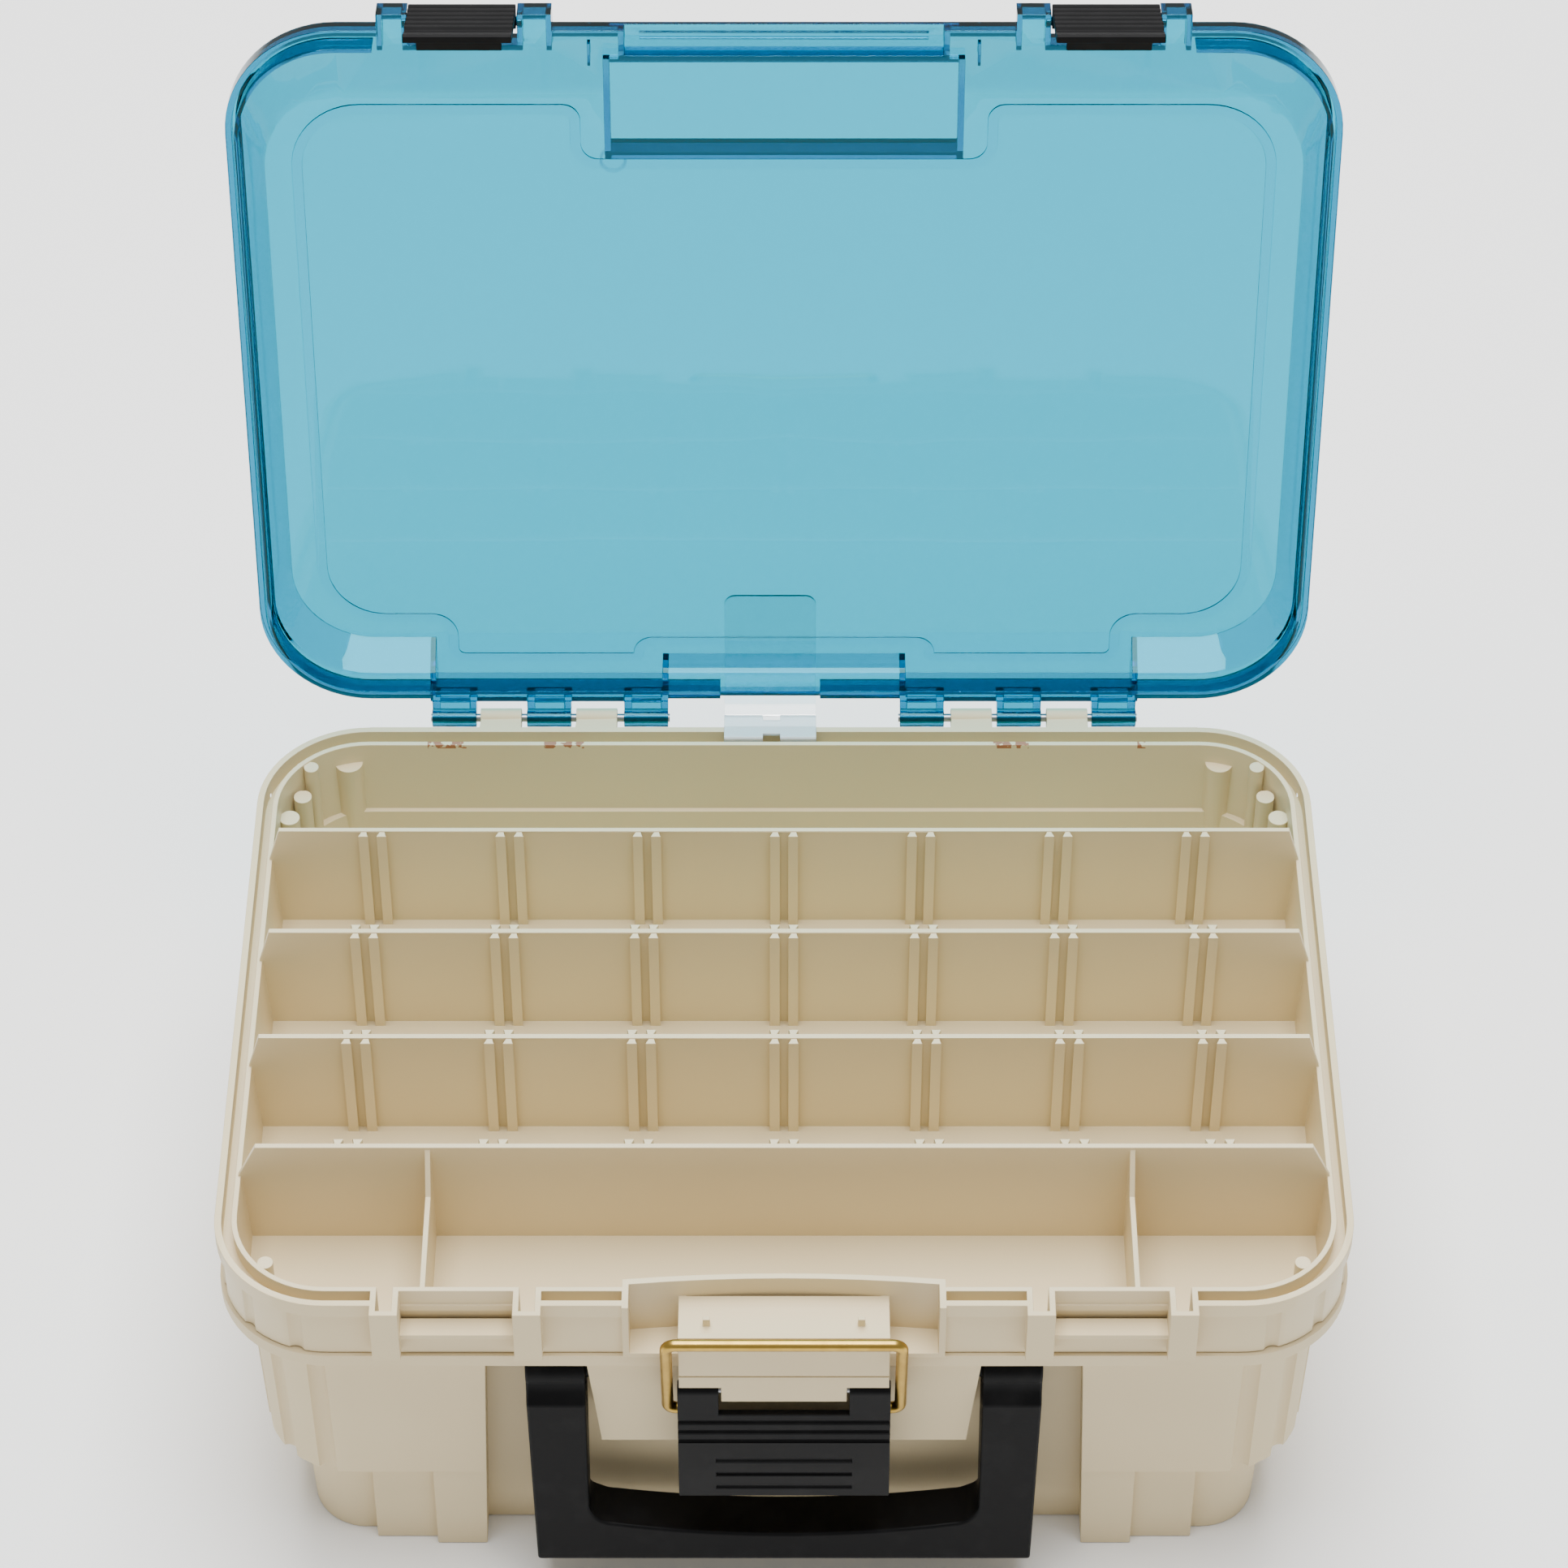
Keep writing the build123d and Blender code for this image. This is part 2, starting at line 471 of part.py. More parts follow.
# Lower shell: flange, body, handle bay, boss, lever knuckle and hinge knuckles
with BuildPart() as lower_shell:
    prism(HALF_WIDTH, FRONT, REAR, RIM_RADIUS, FLANGE_TOP_OF_BASE,
          FLANGE_TOP_OF_BASE - FLANGE_BOTTOM)
    add(body_outer.part)
    # Hollow of the flange, shoulder, body and plinth
    prism(BODY_HALF_WIDTH + FLARE_OUT - BODY_WALL, BODY_FRONT - FLARE_OUT + BODY_WALL,
          BODY_REAR + FLARE_OUT - BODY_WALL, BODY_RADIUS + FLARE_OUT - BODY_WALL,
          FLANGE_TOP_OF_BASE + 1, FLANGE_TOP_OF_BASE + 1 - FLANGE_BOTTOM, mode=Mode.SUBTRACT)
    prism(BODY_HALF_WIDTH + FLARE_OUT - BODY_WALL, BODY_FRONT - FLARE_OUT + BODY_WALL,
          BODY_REAR + FLARE_OUT - BODY_WALL, BODY_RADIUS + FLARE_OUT - BODY_WALL,
          FLANGE_BOTTOM + 0.01, FLARE_HEIGHT, degrees(atan2(FLARE_OUT, FLARE_HEIGHT)),
          mode=Mode.SUBTRACT)
    prism(BODY_HALF_WIDTH - BODY_WALL, BODY_FRONT + BODY_WALL, BODY_REAR - BODY_WALL,
          BODY_RADIUS - BODY_WALL, FLANGE_BOTTOM, FLANGE_BOTTOM - PLINTH_TOP - FLOOR_WALL,
          BODY_DRAFT, mode=Mode.SUBTRACT)
    prism(PLINTH_HALF_WIDTH - BODY_WALL, PLINTH_FRONT + BODY_WALL, PLINTH_REAR - BODY_WALL,
          PLINTH_RADIUS - BODY_WALL, PLINTH_TOP + FLOOR_WALL + 1,
          PLINTH_TOP + 1, BODY_DRAFT, mode=Mode.SUBTRACT)
    add(bay_wall.part)
    with BuildSketch(down(BAY_CEILING)) as bay_plan:
        with Locations((0, -BAY_BACK + 20)):
            Rectangle(2 * BAY_HALF_WIDTH, 40)
    extrude(bay_plan.sketch, amount=BAY_CEILING + 1, taper=-BODY_DRAFT, mode=Mode.SUBTRACT)
    # Boss between the handle arms, hollow from below
    elevation([(-BOSS_HALF_WIDTH, BAY_CEILING + 1), (-BOSS_HALF_WIDTH + 4, BOSS_BOTTOM),
               (BOSS_HALF_WIDTH - 4, BOSS_BOTTOM), (BOSS_HALF_WIDTH, BAY_CEILING + 1)],
              BOSS_FRONT, BAY_BACK + 2.5)
    elevation([(-BOSS_HALF_WIDTH + BODY_WALL, BAY_CEILING),
               (-BOSS_HALF_WIDTH + 4 + BODY_WALL, BOSS_BOTTOM - 1),
               (BOSS_HALF_WIDTH - 4 - BODY_WALL, BOSS_BOTTOM - 1),
               (BOSS_HALF_WIDTH - BODY_WALL, BAY_CEILING)],
              BOSS_FRONT + BODY_WALL, BAY_BACK + 0.1, mode=Mode.SUBTRACT)
    rod(HANDLE_PIVOT_Y, HANDLE_PIVOT_Z, TRUNNION_PIN_RADIUS + PIN_FIT, -BOSS_HALF_WIDTH - 1,
        BOSS_HALF_WIDTH + 1, mode=Mode.SUBTRACT)
    # Lower half of the hook block and the lever knuckle
    block(-HOOK_HALF_WIDTH, HOOK_HALF_WIDTH, HOOK_FRONT, FRONT + 0.5, LEVER_PIN_Z + 3.4,
          FLANGE_TOP_OF_BASE)
    profile([(HOOK_FRONT, LEVER_PIN_Z + 4), (HOOK_FRONT, LEVER_PIN_Z - 3.6),
             (HOOK_FRONT + 1.2, LEVER_PIN_Z - 4.8), (LEVER_PIN_Y + 2, LEVER_PIN_Z - 4.8),
             (LEVER_PIN_Y + 4.4, LEVER_PIN_Z - 2), (LEVER_PIN_Y + 4.4, LEVER_PIN_Z + 4)],
            -20.6, 20.6)
    rod(LEVER_PIN_Y, LEVER_PIN_Z, LEVER_PIN_RADIUS + PIN_FIT / 2, -30, 30, mode=Mode.SUBTRACT)
    # Knuckles of the hinge between the two levels
    for x in LEVEL_BASE_KNUCKLES:
        x0, x1 = x - LEVEL_KNUCKLE_WIDTH / 2, x + LEVEL_KNUCKLE_WIDTH / 2
        block_pair(x0, x1, REAR - 1.0, LEVEL_AXIS_Y, LEVEL_AXIS_Z - LEVEL_KNUCKLE_RADIUS,
                   FLANGE_TOP_OF_BASE)
        rod_pair(LEVEL_AXIS_Y, LEVEL_AXIS_Z, LEVEL_KNUCKLE_RADIUS, x0, x1)
    rod_pair(LEVEL_AXIS_Y, LEVEL_AXIS_Z, PIN_RADIUS + PIN_FIT, 30, 140, mode=Mode.SUBTRACT)

# Hollow of the lid, with the walls of the outer pocket left standing
with BuildPart() as lid_hollow:
    prism(HALF_WIDTH - LID_SKIRT_WALL, LID_FRONT + LID_SKIRT_WALL, LID_REAR - LID_SKIRT_WALL,
          LID_RADIUS - LID_SKIRT_WALL, FLANGE_TOP - LID_WALL, 10)
    with BuildSketch(Plane.XY.offset(FLANGE_TOP - LID_WALL)) as root:
        with Locations((0, (DOME_ROOT_FRONT + DOME_ROOT_REAR) / 2)):
            RectangleRounded(2 * DOME_ROOT_HALF, DOME_ROOT_REAR - DOME_ROOT_FRONT, 33)
    with BuildSketch(Plane.XY.offset(PANEL_TOP - LID_WALL)) as crown:
        with Locations((0, (PANEL_EDGE_FRONT + PANEL_EDGE_REAR) / 2)):
            RectangleRounded(2 * PANEL_HALF, PANEL_EDGE_REAR - PANEL_EDGE_FRONT, 29)
    loft([root.sketch, crown.sketch], ruled=True)
    block_pair(HINGE_BLOCK_INNER + LID_WALL, HINGE_BLOCK_OUTER - LID_WALL, 100,
               HINGE_BLOCK_REAR - LID_WALL, RIM_TOP - 1, PANEL_TOP - LID_WALL)
    block(-HINGE_BLOCK_INNER - LID_WALL, HINGE_BLOCK_INNER + LID_WALL, 100,
          CENTRE_BLOCK_REAR - LID_WALL, FLANGE_TOP - LID_WALL - 0.1, PANEL_TOP - LID_WALL)
    block_pair(HOUSING_INNER + LUG_WALL, HOUSING_OUTER - LUG_WALL, LATCH_GAP_BACK + LID_WALL,
               -110, RIM_TOP - 1, HOUSING_TOP - LID_WALL)
    block(-LID_POCKET_HALF - LID_WALL, LID_POCKET_HALF + LID_WALL, LID_POCKET_FRONT - LID_WALL,
          LID_POCKET_REAR + LID_WALL, LID_POCKET_FLOOR - LID_WALL, PANEL_TOP,
          mode=Mode.SUBTRACT)

with BuildPart() as lid:
    prism(HALF_WIDTH, LID_FRONT, LID_REAR, LID_RADIUS, FLANGE_TOP, FLANGE_TOP - LID_BOTTOM)
    with BuildSketch(Plane.XY.offset(FLANGE_TOP)) as root:
        with Locations((0, (DOME_ROOT_FRONT + DOME_ROOT_REAR) / 2)):
            RectangleRounded(2 * (DOME_ROOT_HALF + LID_WALL),
                             DOME_ROOT_REAR - DOME_ROOT_FRONT + 2 * LID_WALL, 35)
    with BuildSketch(Plane.XY.offset(PANEL_TOP)) as crown:
        with Locations((0, (PANEL_EDGE_FRONT + PANEL_EDGE_REAR) / 2)):
            RectangleRounded(2 * (PANEL_HALF + LID_WALL),
                             PANEL_EDGE_REAR - PANEL_EDGE_FRONT + 2 * LID_WALL, 31)
    loft([root.sketch, crown.sketch], ruled=True)
    block_pair(HINGE_BLOCK_INNER, HINGE_BLOCK_OUTER, 100, HINGE_BLOCK_REAR, LID_BOTTOM,
               PANEL_TOP)
    block(-HINGE_BLOCK_INNER, HINGE_BLOCK_INNER, 100, CENTRE_BLOCK_REAR, FLANGE_TOP - 1,
          PANEL_TOP)
    block_pair(HOUSING_INNER, HOUSING_OUTER, LATCH_GAP_BACK, -110, LID_BOTTOM, HOUSING_TOP)
    add(lid_hollow.part, mode=Mode.SUBTRACT)
    block(-LID_POCKET_HALF, LID_POCKET_HALF, LID_POCKET_FRONT, LID_POCKET_REAR,
          LID_POCKET_FLOOR, PANEL_TOP + 1, mode=Mode.SUBTRACT)
    # Finger lip over the recess of the tray
    block(-FINGER_LIP_HALF, FINGER_LIP_HALF, LID_FRONT - 1, FINGER_WALL_Y, RIM_TOP,
          FLANGE_TOP - LID_WALL, mode=Mode.SUBTRACT)
    block(-FINGER_LIP_HALF - LID_WALL, FINGER_LIP_HALF + LID_WALL, FINGER_WALL_Y,
          FINGER_WALL_Y + LID_WALL, LID_BOTTOM, FLANGE_TOP + 1)
    block_pair(FINGER_LIP_HALF, FINGER_LIP_HALF + LID_WALL, LID_FRONT + 1, FINGER_WALL_Y + 1,
               LID_BOTTOM, FLANGE_TOP - 1)
    for y in (-130.2, -132.4):
        block(-48, 48, y - 0.4, y + 0.4, FLANGE_TOP - LID_WALL - 0.8, FLANGE_TOP - 1)
    block_pair(64.5, 65.5, -129.2, -120.8, RIM_TOP + 3, FLANGE_TOP + 1)
    # Room for the latches, and the lugs that carry them
    block_pair(LATCH_INNER - MOVING_GAP, LATCH_OUTER + MOVING_GAP, LID_FRONT - 1,
               LATCH_GAP_BACK, RIM_TOP, PANEL_TOP, mode=Mode.SUBTRACT)
    block_pair(LATCH_INNER - MOVING_GAP, LATCH_OUTER + MOVING_GAP, LATCH_GAP_BACK,
               LATCH_GAP_BACK + LID_WALL, LID_BOTTOM, HOUSING_TOP)
    for x0, x1 in ((HOUSING_INNER, LATCH_INNER - MOVING_GAP),
                   (LATCH_OUTER + MOVING_GAP, HOUSING_OUTER)):
        block_pair(x0, x1, LUG_FRONT, LATCH_GAP_BACK + LID_WALL, LID_BOTTOM, HOUSING_TOP)
        block_pair(x0 + LUG_WALL, x1 - LUG_WALL, LUG_FRONT + LUG_WALL, LATCH_GAP_BACK + 4,
                   RIM_TOP, HOUSING_TOP - LID_WALL, mode=Mode.SUBTRACT)
    rod_pair(TRUNNION_Y, TRUNNION_Z, TRUNNION_RADIUS + PIN_FIT,
             LATCH_INNER - MOVING_GAP - LUG_WALL - 0.5, LATCH_OUTER + MOVING_GAP + LUG_WALL + 0.5,
             mode=Mode.SUBTRACT)
    # Tongue that drops into the groove of the rim
    with BuildSketch(Plane.XY.offset(RIM_TOP - TONGUE_DROP)) as tongue:
        with Locations((0, (TUB_TOP_REAR + TUB_TOP_FRONT) / 2 + 0.6)):
            RectangleRounded(2 * TUB_TOP_HALF + 4.6, TUB_TOP_REAR - TUB_TOP_FRONT + 5.8, 34.8)
            RectangleRounded(2 * TUB_TOP_HALF + 1.8, TUB_TOP_REAR - TUB_TOP_FRONT + 3.0, 33.4,
                             mode=Mode.SUBTRACT)
        with Locations((0, FRONT)):
            Rectangle(2 * HOUSING_OUTER + 3, 30, mode=Mode.SUBTRACT)
    extrude(tongue.sketch, amount=FLANGE_TOP - LID_WALL - RIM_TOP + TONGUE_DROP + 0.5)
    # Raised bead on the inside of the panel
    with BuildSketch(Plane.XY.offset(PANEL_TOP - LID_WALL - BEAD_HEIGHT)) as bead:
        with BuildLine():
            Polyline((-167.5, -99.6), (-69.0, -99.6), (-69.0, -78.8), (69.0, -78.8),
                     (69.0, -99.6), (167.5, -99.6), (167.5, 111.0), (121.5, 111.0),
                     (121.5, 128.2), (51.0, 128.2), (51.0, 121.3), (-51.0, 121.3),
                     (-51.0, 128.2), (-121.5, 128.2), (-121.5, 111.0), (-167.5, 111.0),
                     close=True)
        make_face()
        fillet(bead.vertices().sort_by(Axis.X)[:2] + bead.vertices().sort_by(Axis.X)[-2:], 24)
        fillet([v for v in bead.vertices() if 60 < abs(v.X) < 130], 6)
        fillet([v for v in bead.vertices() if abs(v.X) < 60], 3.2)
        offset(amount=-BEAD_WIDTH, mode=Mode.SUBTRACT)
    extrude(bead.sketch, amount=BEAD_HEIGHT + 0.3)
    # Clips of the lid hinge
    for x in LID_CLIPS:
        x0, x1 = x - LID_CLIP_WIDTH / 2, x + LID_CLIP_WIDTH / 2
        block_pair(x0, x1, HINGE_BLOCK_REAR - 0.5, LID_AXIS_Y + 1.2, LID_AXIS_Z + 1.5,
                   LID_AXIS_Z + 9)
        rod_pair(LID_AXIS_Y, LID_AXIS_Z, KNUCKLE_RADIUS, x0, x1)
        block_pair(x0 + 2.6, x1 - 2.6, HINGE_BLOCK_REAR + 1.2, LID_AXIS_Y + 2.5,
                   LID_AXIS_Z + 4.6, LID_AXIS_Z + 10, mode=Mode.SUBTRACT)
    rod_pair(LID_AXIS_Y, LID_AXIS_Z, PIN_RADIUS + 1.5 * PIN_FIT, 30, 140, mode=Mode.SUBTRACT)
    # Relief for the strap
    block(STRAP_LEFT - 1.4, STRAP_RIGHT + 1.4, REAR - 3.5, LID_REAR + 1, RIM_TOP - 1,
          RIM_TOP + 2.2, mode=Mode.SUBTRACT)
    block(STRAP_LEFT - 1.4, STRAP_RIGHT + 1.4, TUB_TOP_REAR - 1, REAR - 3, RIM_TOP - 4,
          FLANGE_TOP - LID_WALL, mode=Mode.SUBTRACT)

# Snap latch, centred on X = 0 and snapped
with BuildPart() as latch:
    profile([(LATCH_PLATE_BACK, LATCH_TOP - 1.2), (LATCH_PLATE_BACK - 0.9, LATCH_TOP),
             (LATCH_PLATE_BACK - LATCH_PLATE, LATCH_TOP - 0.6),
             (LATCH_PLATE_BACK - LATCH_PLATE, 122.0),
             (LATCH_PLATE_BACK - LATCH_PLATE - 1.6, LATCH_BOTTOM + 1.0),
             (LATCH_PLATE_BACK - LATCH_PLATE - 0.9, LATCH_BOTTOM),
             (LATCH_PLATE_BACK - 0.9, LATCH_BOTTOM + 0.6), (LATCH_PLATE_BACK, 121.0)],
            -LATCH_WIDTH / 2, LATCH_WIDTH / 2)
    with BuildSketch(Plane.YZ.offset(-LATCH_WIDTH / 2)) as grip_ribs:
        with Locations(*[(LATCH_PLATE_BACK - LATCH_PLATE, LATCH_TOP - 1.8 - number * LATCH_RIB_PITCH)
                         for number in range(LATCH_RIBS)]):
            Polygon((0.4, -LATCH_RIB_ROOT / 2), (0.4, LATCH_RIB_ROOT / 2),
                    (-LATCH_RIB_RISE, LATCH_RIB_CREST / 2), (-LATCH_RIB_RISE, -LATCH_RIB_CREST / 2),
                    align=None)
    extrude(grip_ribs.sketch, amount=LATCH_WIDTH)
    profile([(LATCH_PLATE_BACK - 0.5, POCKET_FLOOR - CATCH_THICKNESS - 0.3),
             (NOSE_TIP, POCKET_FLOOR - CATCH_THICKNESS - 0.3),
             (NOSE_TIP, POCKET_FLOOR - CATCH_THICKNESS - 1.5),
             (LATCH_PLATE_BACK - 0.5, POCKET_FLOOR - CATCH_THICKNESS - 4.5)], -14, 14)
    for sign in (1, -1):
        near, far = sign * (LATCH_WIDTH / 2 - 3.2), sign * LATCH_WIDTH / 2
        profile([(LATCH_PLATE_BACK - 0.5, TRUNNION_Z - 5.5), (TRUNNION_Y, TRUNNION_Z - 2.6),
                 (TRUNNION_Y, TRUNNION_Z + 1.9), (LATCH_PLATE_BACK - 0.5, TRUNNION_Z + 1.9)],
                min(near, far), max(near, far))
        rod(TRUNNION_Y, TRUNNION_Z, 2.6, near, far)
        rod(TRUNNION_Y, TRUNNION_Z, TRUNNION_RADIUS, near,
            sign * (LATCH_WIDTH / 2 + MOVING_GAP + LUG_WALL - 0.3))

# Hinge and pivot pins
with BuildPart() as lid_pin:
    rod(LID_AXIS_Y, LID_AXIS_Z, PIN_RADIUS, *LID_PIN_ENDS)
with BuildPart() as level_pin:
    rod(LEVEL_AXIS_Y, LEVEL_AXIS_Z, PIN_RADIUS, *LEVEL_PIN_ENDS)
with BuildPart() as lever_pin:
    rod(LEVER_PIN_Y, LEVER_PIN_Z, LEVER_PIN_RADIUS, -LEVER_PIN_HALF, LEVER_PIN_HALF)

# Lever of the draw latch, a channel that opens to the rear
with BuildPart() as lever:
    profile([(LEVER_PIN_Y - LEVER_EAR_RADIUS, LEVER_PIN_Z), (-144.2, 97.0), (-145.6, 85.0),
             (-146.6, 70.0), (-146.6, 55.6), (-144.6, LEVER_BOTTOM), (-139.6, LEVER_BOTTOM),
             (-137.0, 60.0), (-135.8, 88.0), (-136.2, 97.0),
             (LEVER_PIN_Y + LEVER_EAR_RADIUS, LEVER_PIN_Z)],
            -LEVER_HALF_WIDTH, LEVER_HALF_WIDTH)
    rod(LEVER_PIN_Y, LEVER_PIN_Z, LEVER_EAR_RADIUS, -LEVER_HALF_WIDTH, LEVER_HALF_WIDTH)
    profile([(-141.6, 98.0), (-142.9, 85.0), (-143.9, 70.0), (-143.9, 56.0), (-130, 56.0),
             (-130, 98.0)], -LEVER_HALF_WIDTH + LEVER_CHEEK, LEVER_HALF_WIDTH - LEVER_CHEEK,
            mode=Mode.SUBTRACT)
    block(-NOTCH_HALF_WIDTH, NOTCH_HALF_WIDTH, -150, -130, NOTCH_BOTTOM, 112,
          mode=Mode.SUBTRACT)
    for z in (92.6, 88.2, 83.8):
        block(-40, 40, -150, -143.9 - (92.6 - z) * 0.115, z - 0.9, z + 0.9, mode=Mode.SUBTRACT)
    for z in (74.2, 67.2, 60.4):
        block(-22.5, 22.5, -150, -145.6 - (74.2 - z) * 0.02, z - 0.9, z + 0.9,
              mode=Mode.SUBTRACT)
    rod(LEVER_PIN_Y, LEVER_PIN_Z, LEVER_PIN_RADIUS + PIN_FIT, -36, 36, mode=Mode.SUBTRACT)
    rod(BAIL_PIVOT_Y, BAIL_PIVOT_Z, WIRE_RADIUS + PIN_FIT, -36, 36, mode=Mode.SUBTRACT)

# Wire bail, leaning clear of the hook block
lean = radians(BAIL_LEAN)
bail_plane = Plane(origin=(0, BAIL_PIVOT_Y, BAIL_PIVOT_Z), x_dir=(1, 0, 0),
                   z_dir=(0, -cos(lean), -sin(lean)))
with BuildPart() as bail:
    with BuildLine(bail_plane) as wire:
        FilletPolyline((BAIL_JOURNAL, 0), (BAIL_HALF_WIDTH, 0), (BAIL_HALF_WIDTH, BAIL_LENGTH),
                       (-BAIL_HALF_WIDTH, BAIL_LENGTH), (-BAIL_HALF_WIDTH, 0), (-BAIL_JOURNAL, 0),
                       radius=BAIL_BEND)
    with BuildSketch(Plane(origin=(BAIL_JOURNAL, BAIL_PIVOT_Y, BAIL_PIVOT_Z), x_dir=(0, 1, 0),
                           z_dir=(1, 0, 0))):
        RegularPolygon(WIRE_RADIUS, WIRE_SIDES)
    sweep(path=wire.line)

# Carrying handle: two arms with trunnions and a deep grip
with BuildPart() as handle:
    profile([(HANDLE_PIVOT_Y - 6.0, HANDLE_PIVOT_Z - 1.0),
             (HANDLE_PIVOT_Y - 7.4, HANDLE_PIVOT_Z - 4.9),
             (HANDLE_PIVOT_Y - 10.4, HANDLE_PIVOT_Z - 8.2), (GRIP_FRONT, HANDLE_BOTTOM + 2),
             (GRIP_FRONT + 2, HANDLE_BOTTOM), (GRIP_REAR - 2, HANDLE_BOTTOM),
             (GRIP_REAR, HANDLE_BOTTOM + 2), (GRIP_REAR, HANDLE_BOTTOM + 20),
             (GRIP_REAR - 2, HANDLE_BOTTOM + 27), (HANDLE_PIVOT_Y + 5.8, HANDLE_PIVOT_Z - 6.5),
             (HANDLE_PIVOT_Y + 6.0, HANDLE_PIVOT_Z)],
            -HANDLE_HALF_WIDTH, HANDLE_HALF_WIDTH)
    rod(HANDLE_PIVOT_Y, HANDLE_PIVOT_Z, HANDLE_HEAD_RADIUS, -HANDLE_HALF_WIDTH,
        HANDLE_HALF_WIDTH)
    with BuildSketch(Plane(origin=(0, -150, 0), x_dir=(1, 0, 0), z_dir=(0, -1, 0))) as front:
        with BuildLine():
            Polyline((HANDLE_HALF_WIDTH, 106), (HANDLE_FOOT_HALF, 10), (-HANDLE_FOOT_HALF, 10),
                     (-HANDLE_HALF_WIDTH, 106), (-HANDLE_OPENING_HALF, 106),
                     (-HANDLE_OPENING_HALF, GRIP_CORNER_TOP))
            ThreePointArc((-HANDLE_OPENING_HALF, GRIP_CORNER_TOP), (-63.0, 36.2),
                          (-57.0, GRIP_SIDE_TOP))
            ThreePointArc((-57.0, GRIP_SIDE_TOP), (0, GRIP_MIDDLE_TOP), (57.0, GRIP_SIDE_TOP))
            ThreePointArc((57.0, GRIP_SIDE_TOP), (63.0, 36.2),
                          (HANDLE_OPENING_HALF, GRIP_CORNER_TOP))
            Polyline((HANDLE_OPENING_HALF, GRIP_CORNER_TOP), (HANDLE_OPENING_HALF, 106),
                     (HANDLE_HALF_WIDTH, 106))
        make_face()
    extrude(front.sketch, amount=-60, mode=Mode.INTERSECT)
    for sign in (1, -1):
        rod(HANDLE_PIVOT_Y, HANDLE_PIVOT_Z, TRUNNION_PIN_RADIUS, sign * HANDLE_PIN_END,
            sign * (HANDLE_OPENING_HALF + 1))

# Strap between tray and lid, in two leaves that meet on the lid hinge line
with BuildPart() as strap_lower:
    profile([(127.2, RIM_TOP - 3.6), (128.6, RIM_TOP - 3.6), (128.6, RIM_TOP + 0.02),
             (LID_AXIS_Y - 1.4, RIM_TOP + 0.02), (LID_AXIS_Y - 0.9, LID_AXIS_Z + 0.2),
             (LID_AXIS_Y - 0.3, LID_AXIS_Z + 0.6), (LID_AXIS_Y - 1.9, RIM_TOP + 1.2),
             (127.8, RIM_TOP + 1.2), (127.2, RIM_TOP + 0.7)], STRAP_LEFT, STRAP_RIGHT)
    block(STRAP_WINDOW_LEFT, STRAP_WINDOW_RIGHT, 120, 129.6, 130, 145, mode=Mode.SUBTRACT)
    block(STRAP_WINDOW_LEFT, STRAP_WINDOW_RIGHT, 136.6, 145, 130, 145, mode=Mode.SUBTRACT)
with BuildPart() as strap_upper:
    profile([(LID_AXIS_Y + 0.2, LID_AXIS_Z + 0.6), (LID_AXIS_Y + 0.4, LID_AXIS_Z + 2.4),
             (129.0, PANEL_TOP + 0.05 + STRAP_THICKNESS),
             (101.0, PANEL_TOP + 0.05 + STRAP_THICKNESS), (101.0, PANEL_TOP + 0.05),
             (128.4, PANEL_TOP + 0.05), (LID_AXIS_Y - 1.2, LID_AXIS_Z + 3.4)],
            STRAP_LEFT, STRAP_RIGHT)
    fillet(strap_upper.edges().filter_by(Axis.Z).sort_by(Axis.Y)[:2], 4)

opening = -LID_OPEN
latch_rest = latch.part.rotate(TRUNNION_AXIS, -LATCH_REST)
pieces = {
    "lower_shell": lower_shell.part,
    "tray_shell": tray_shell.part,
    "lid": lid.part.rotate(LID_AXIS, opening),
    "latch_left": Pos(-LATCH_CENTRE, 0, 0) * latch_rest,
    "latch_right": Pos(LATCH_CENTRE, 0, 0) * latch_rest,
    "lid_hinge_pin_right": lid_pin.part,
    "lid_hinge_pin_left": lid_pin.part.mirror(Plane.YZ),
    "level_hinge_pin_right": level_pin.part,
    "level_hinge_pin_left": level_pin.part.mirror(Plane.YZ),
    "lever": lever.part,
    "lever_pin": lever_pin.part,
    "bail": bail.part,
    "carrying_handle": handle.part,
    "strap_lower_leaf": strap_lower.part,
    "strap_upper_leaf": strap_upper.part.rotate(LID_AXIS, opening),
}
for name in ("latch_left", "latch_right"):
    pieces[name] = pieces[name].rotate(LID_AXIS, opening)
for name, piece in pieces.items():
    piece.label = name
    export_step(piece, f"parts/{name}.step")
    print(name, round(piece.volume), piece.is_valid, len(piece.solids()))
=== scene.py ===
"""Dresses the two-level tackle box: finishes, softened edges, wire, floor, light and camera.

Every length is in metres in the frame of the solids: X to the right, Y to the rear, Z up,
with the origin on the floor under the middle of the box.
"""

import json
import logging
import math
from dataclasses import dataclass
from enum import Enum

import bmesh
import bpy
from mathutils import Euler, Matrix, Vector

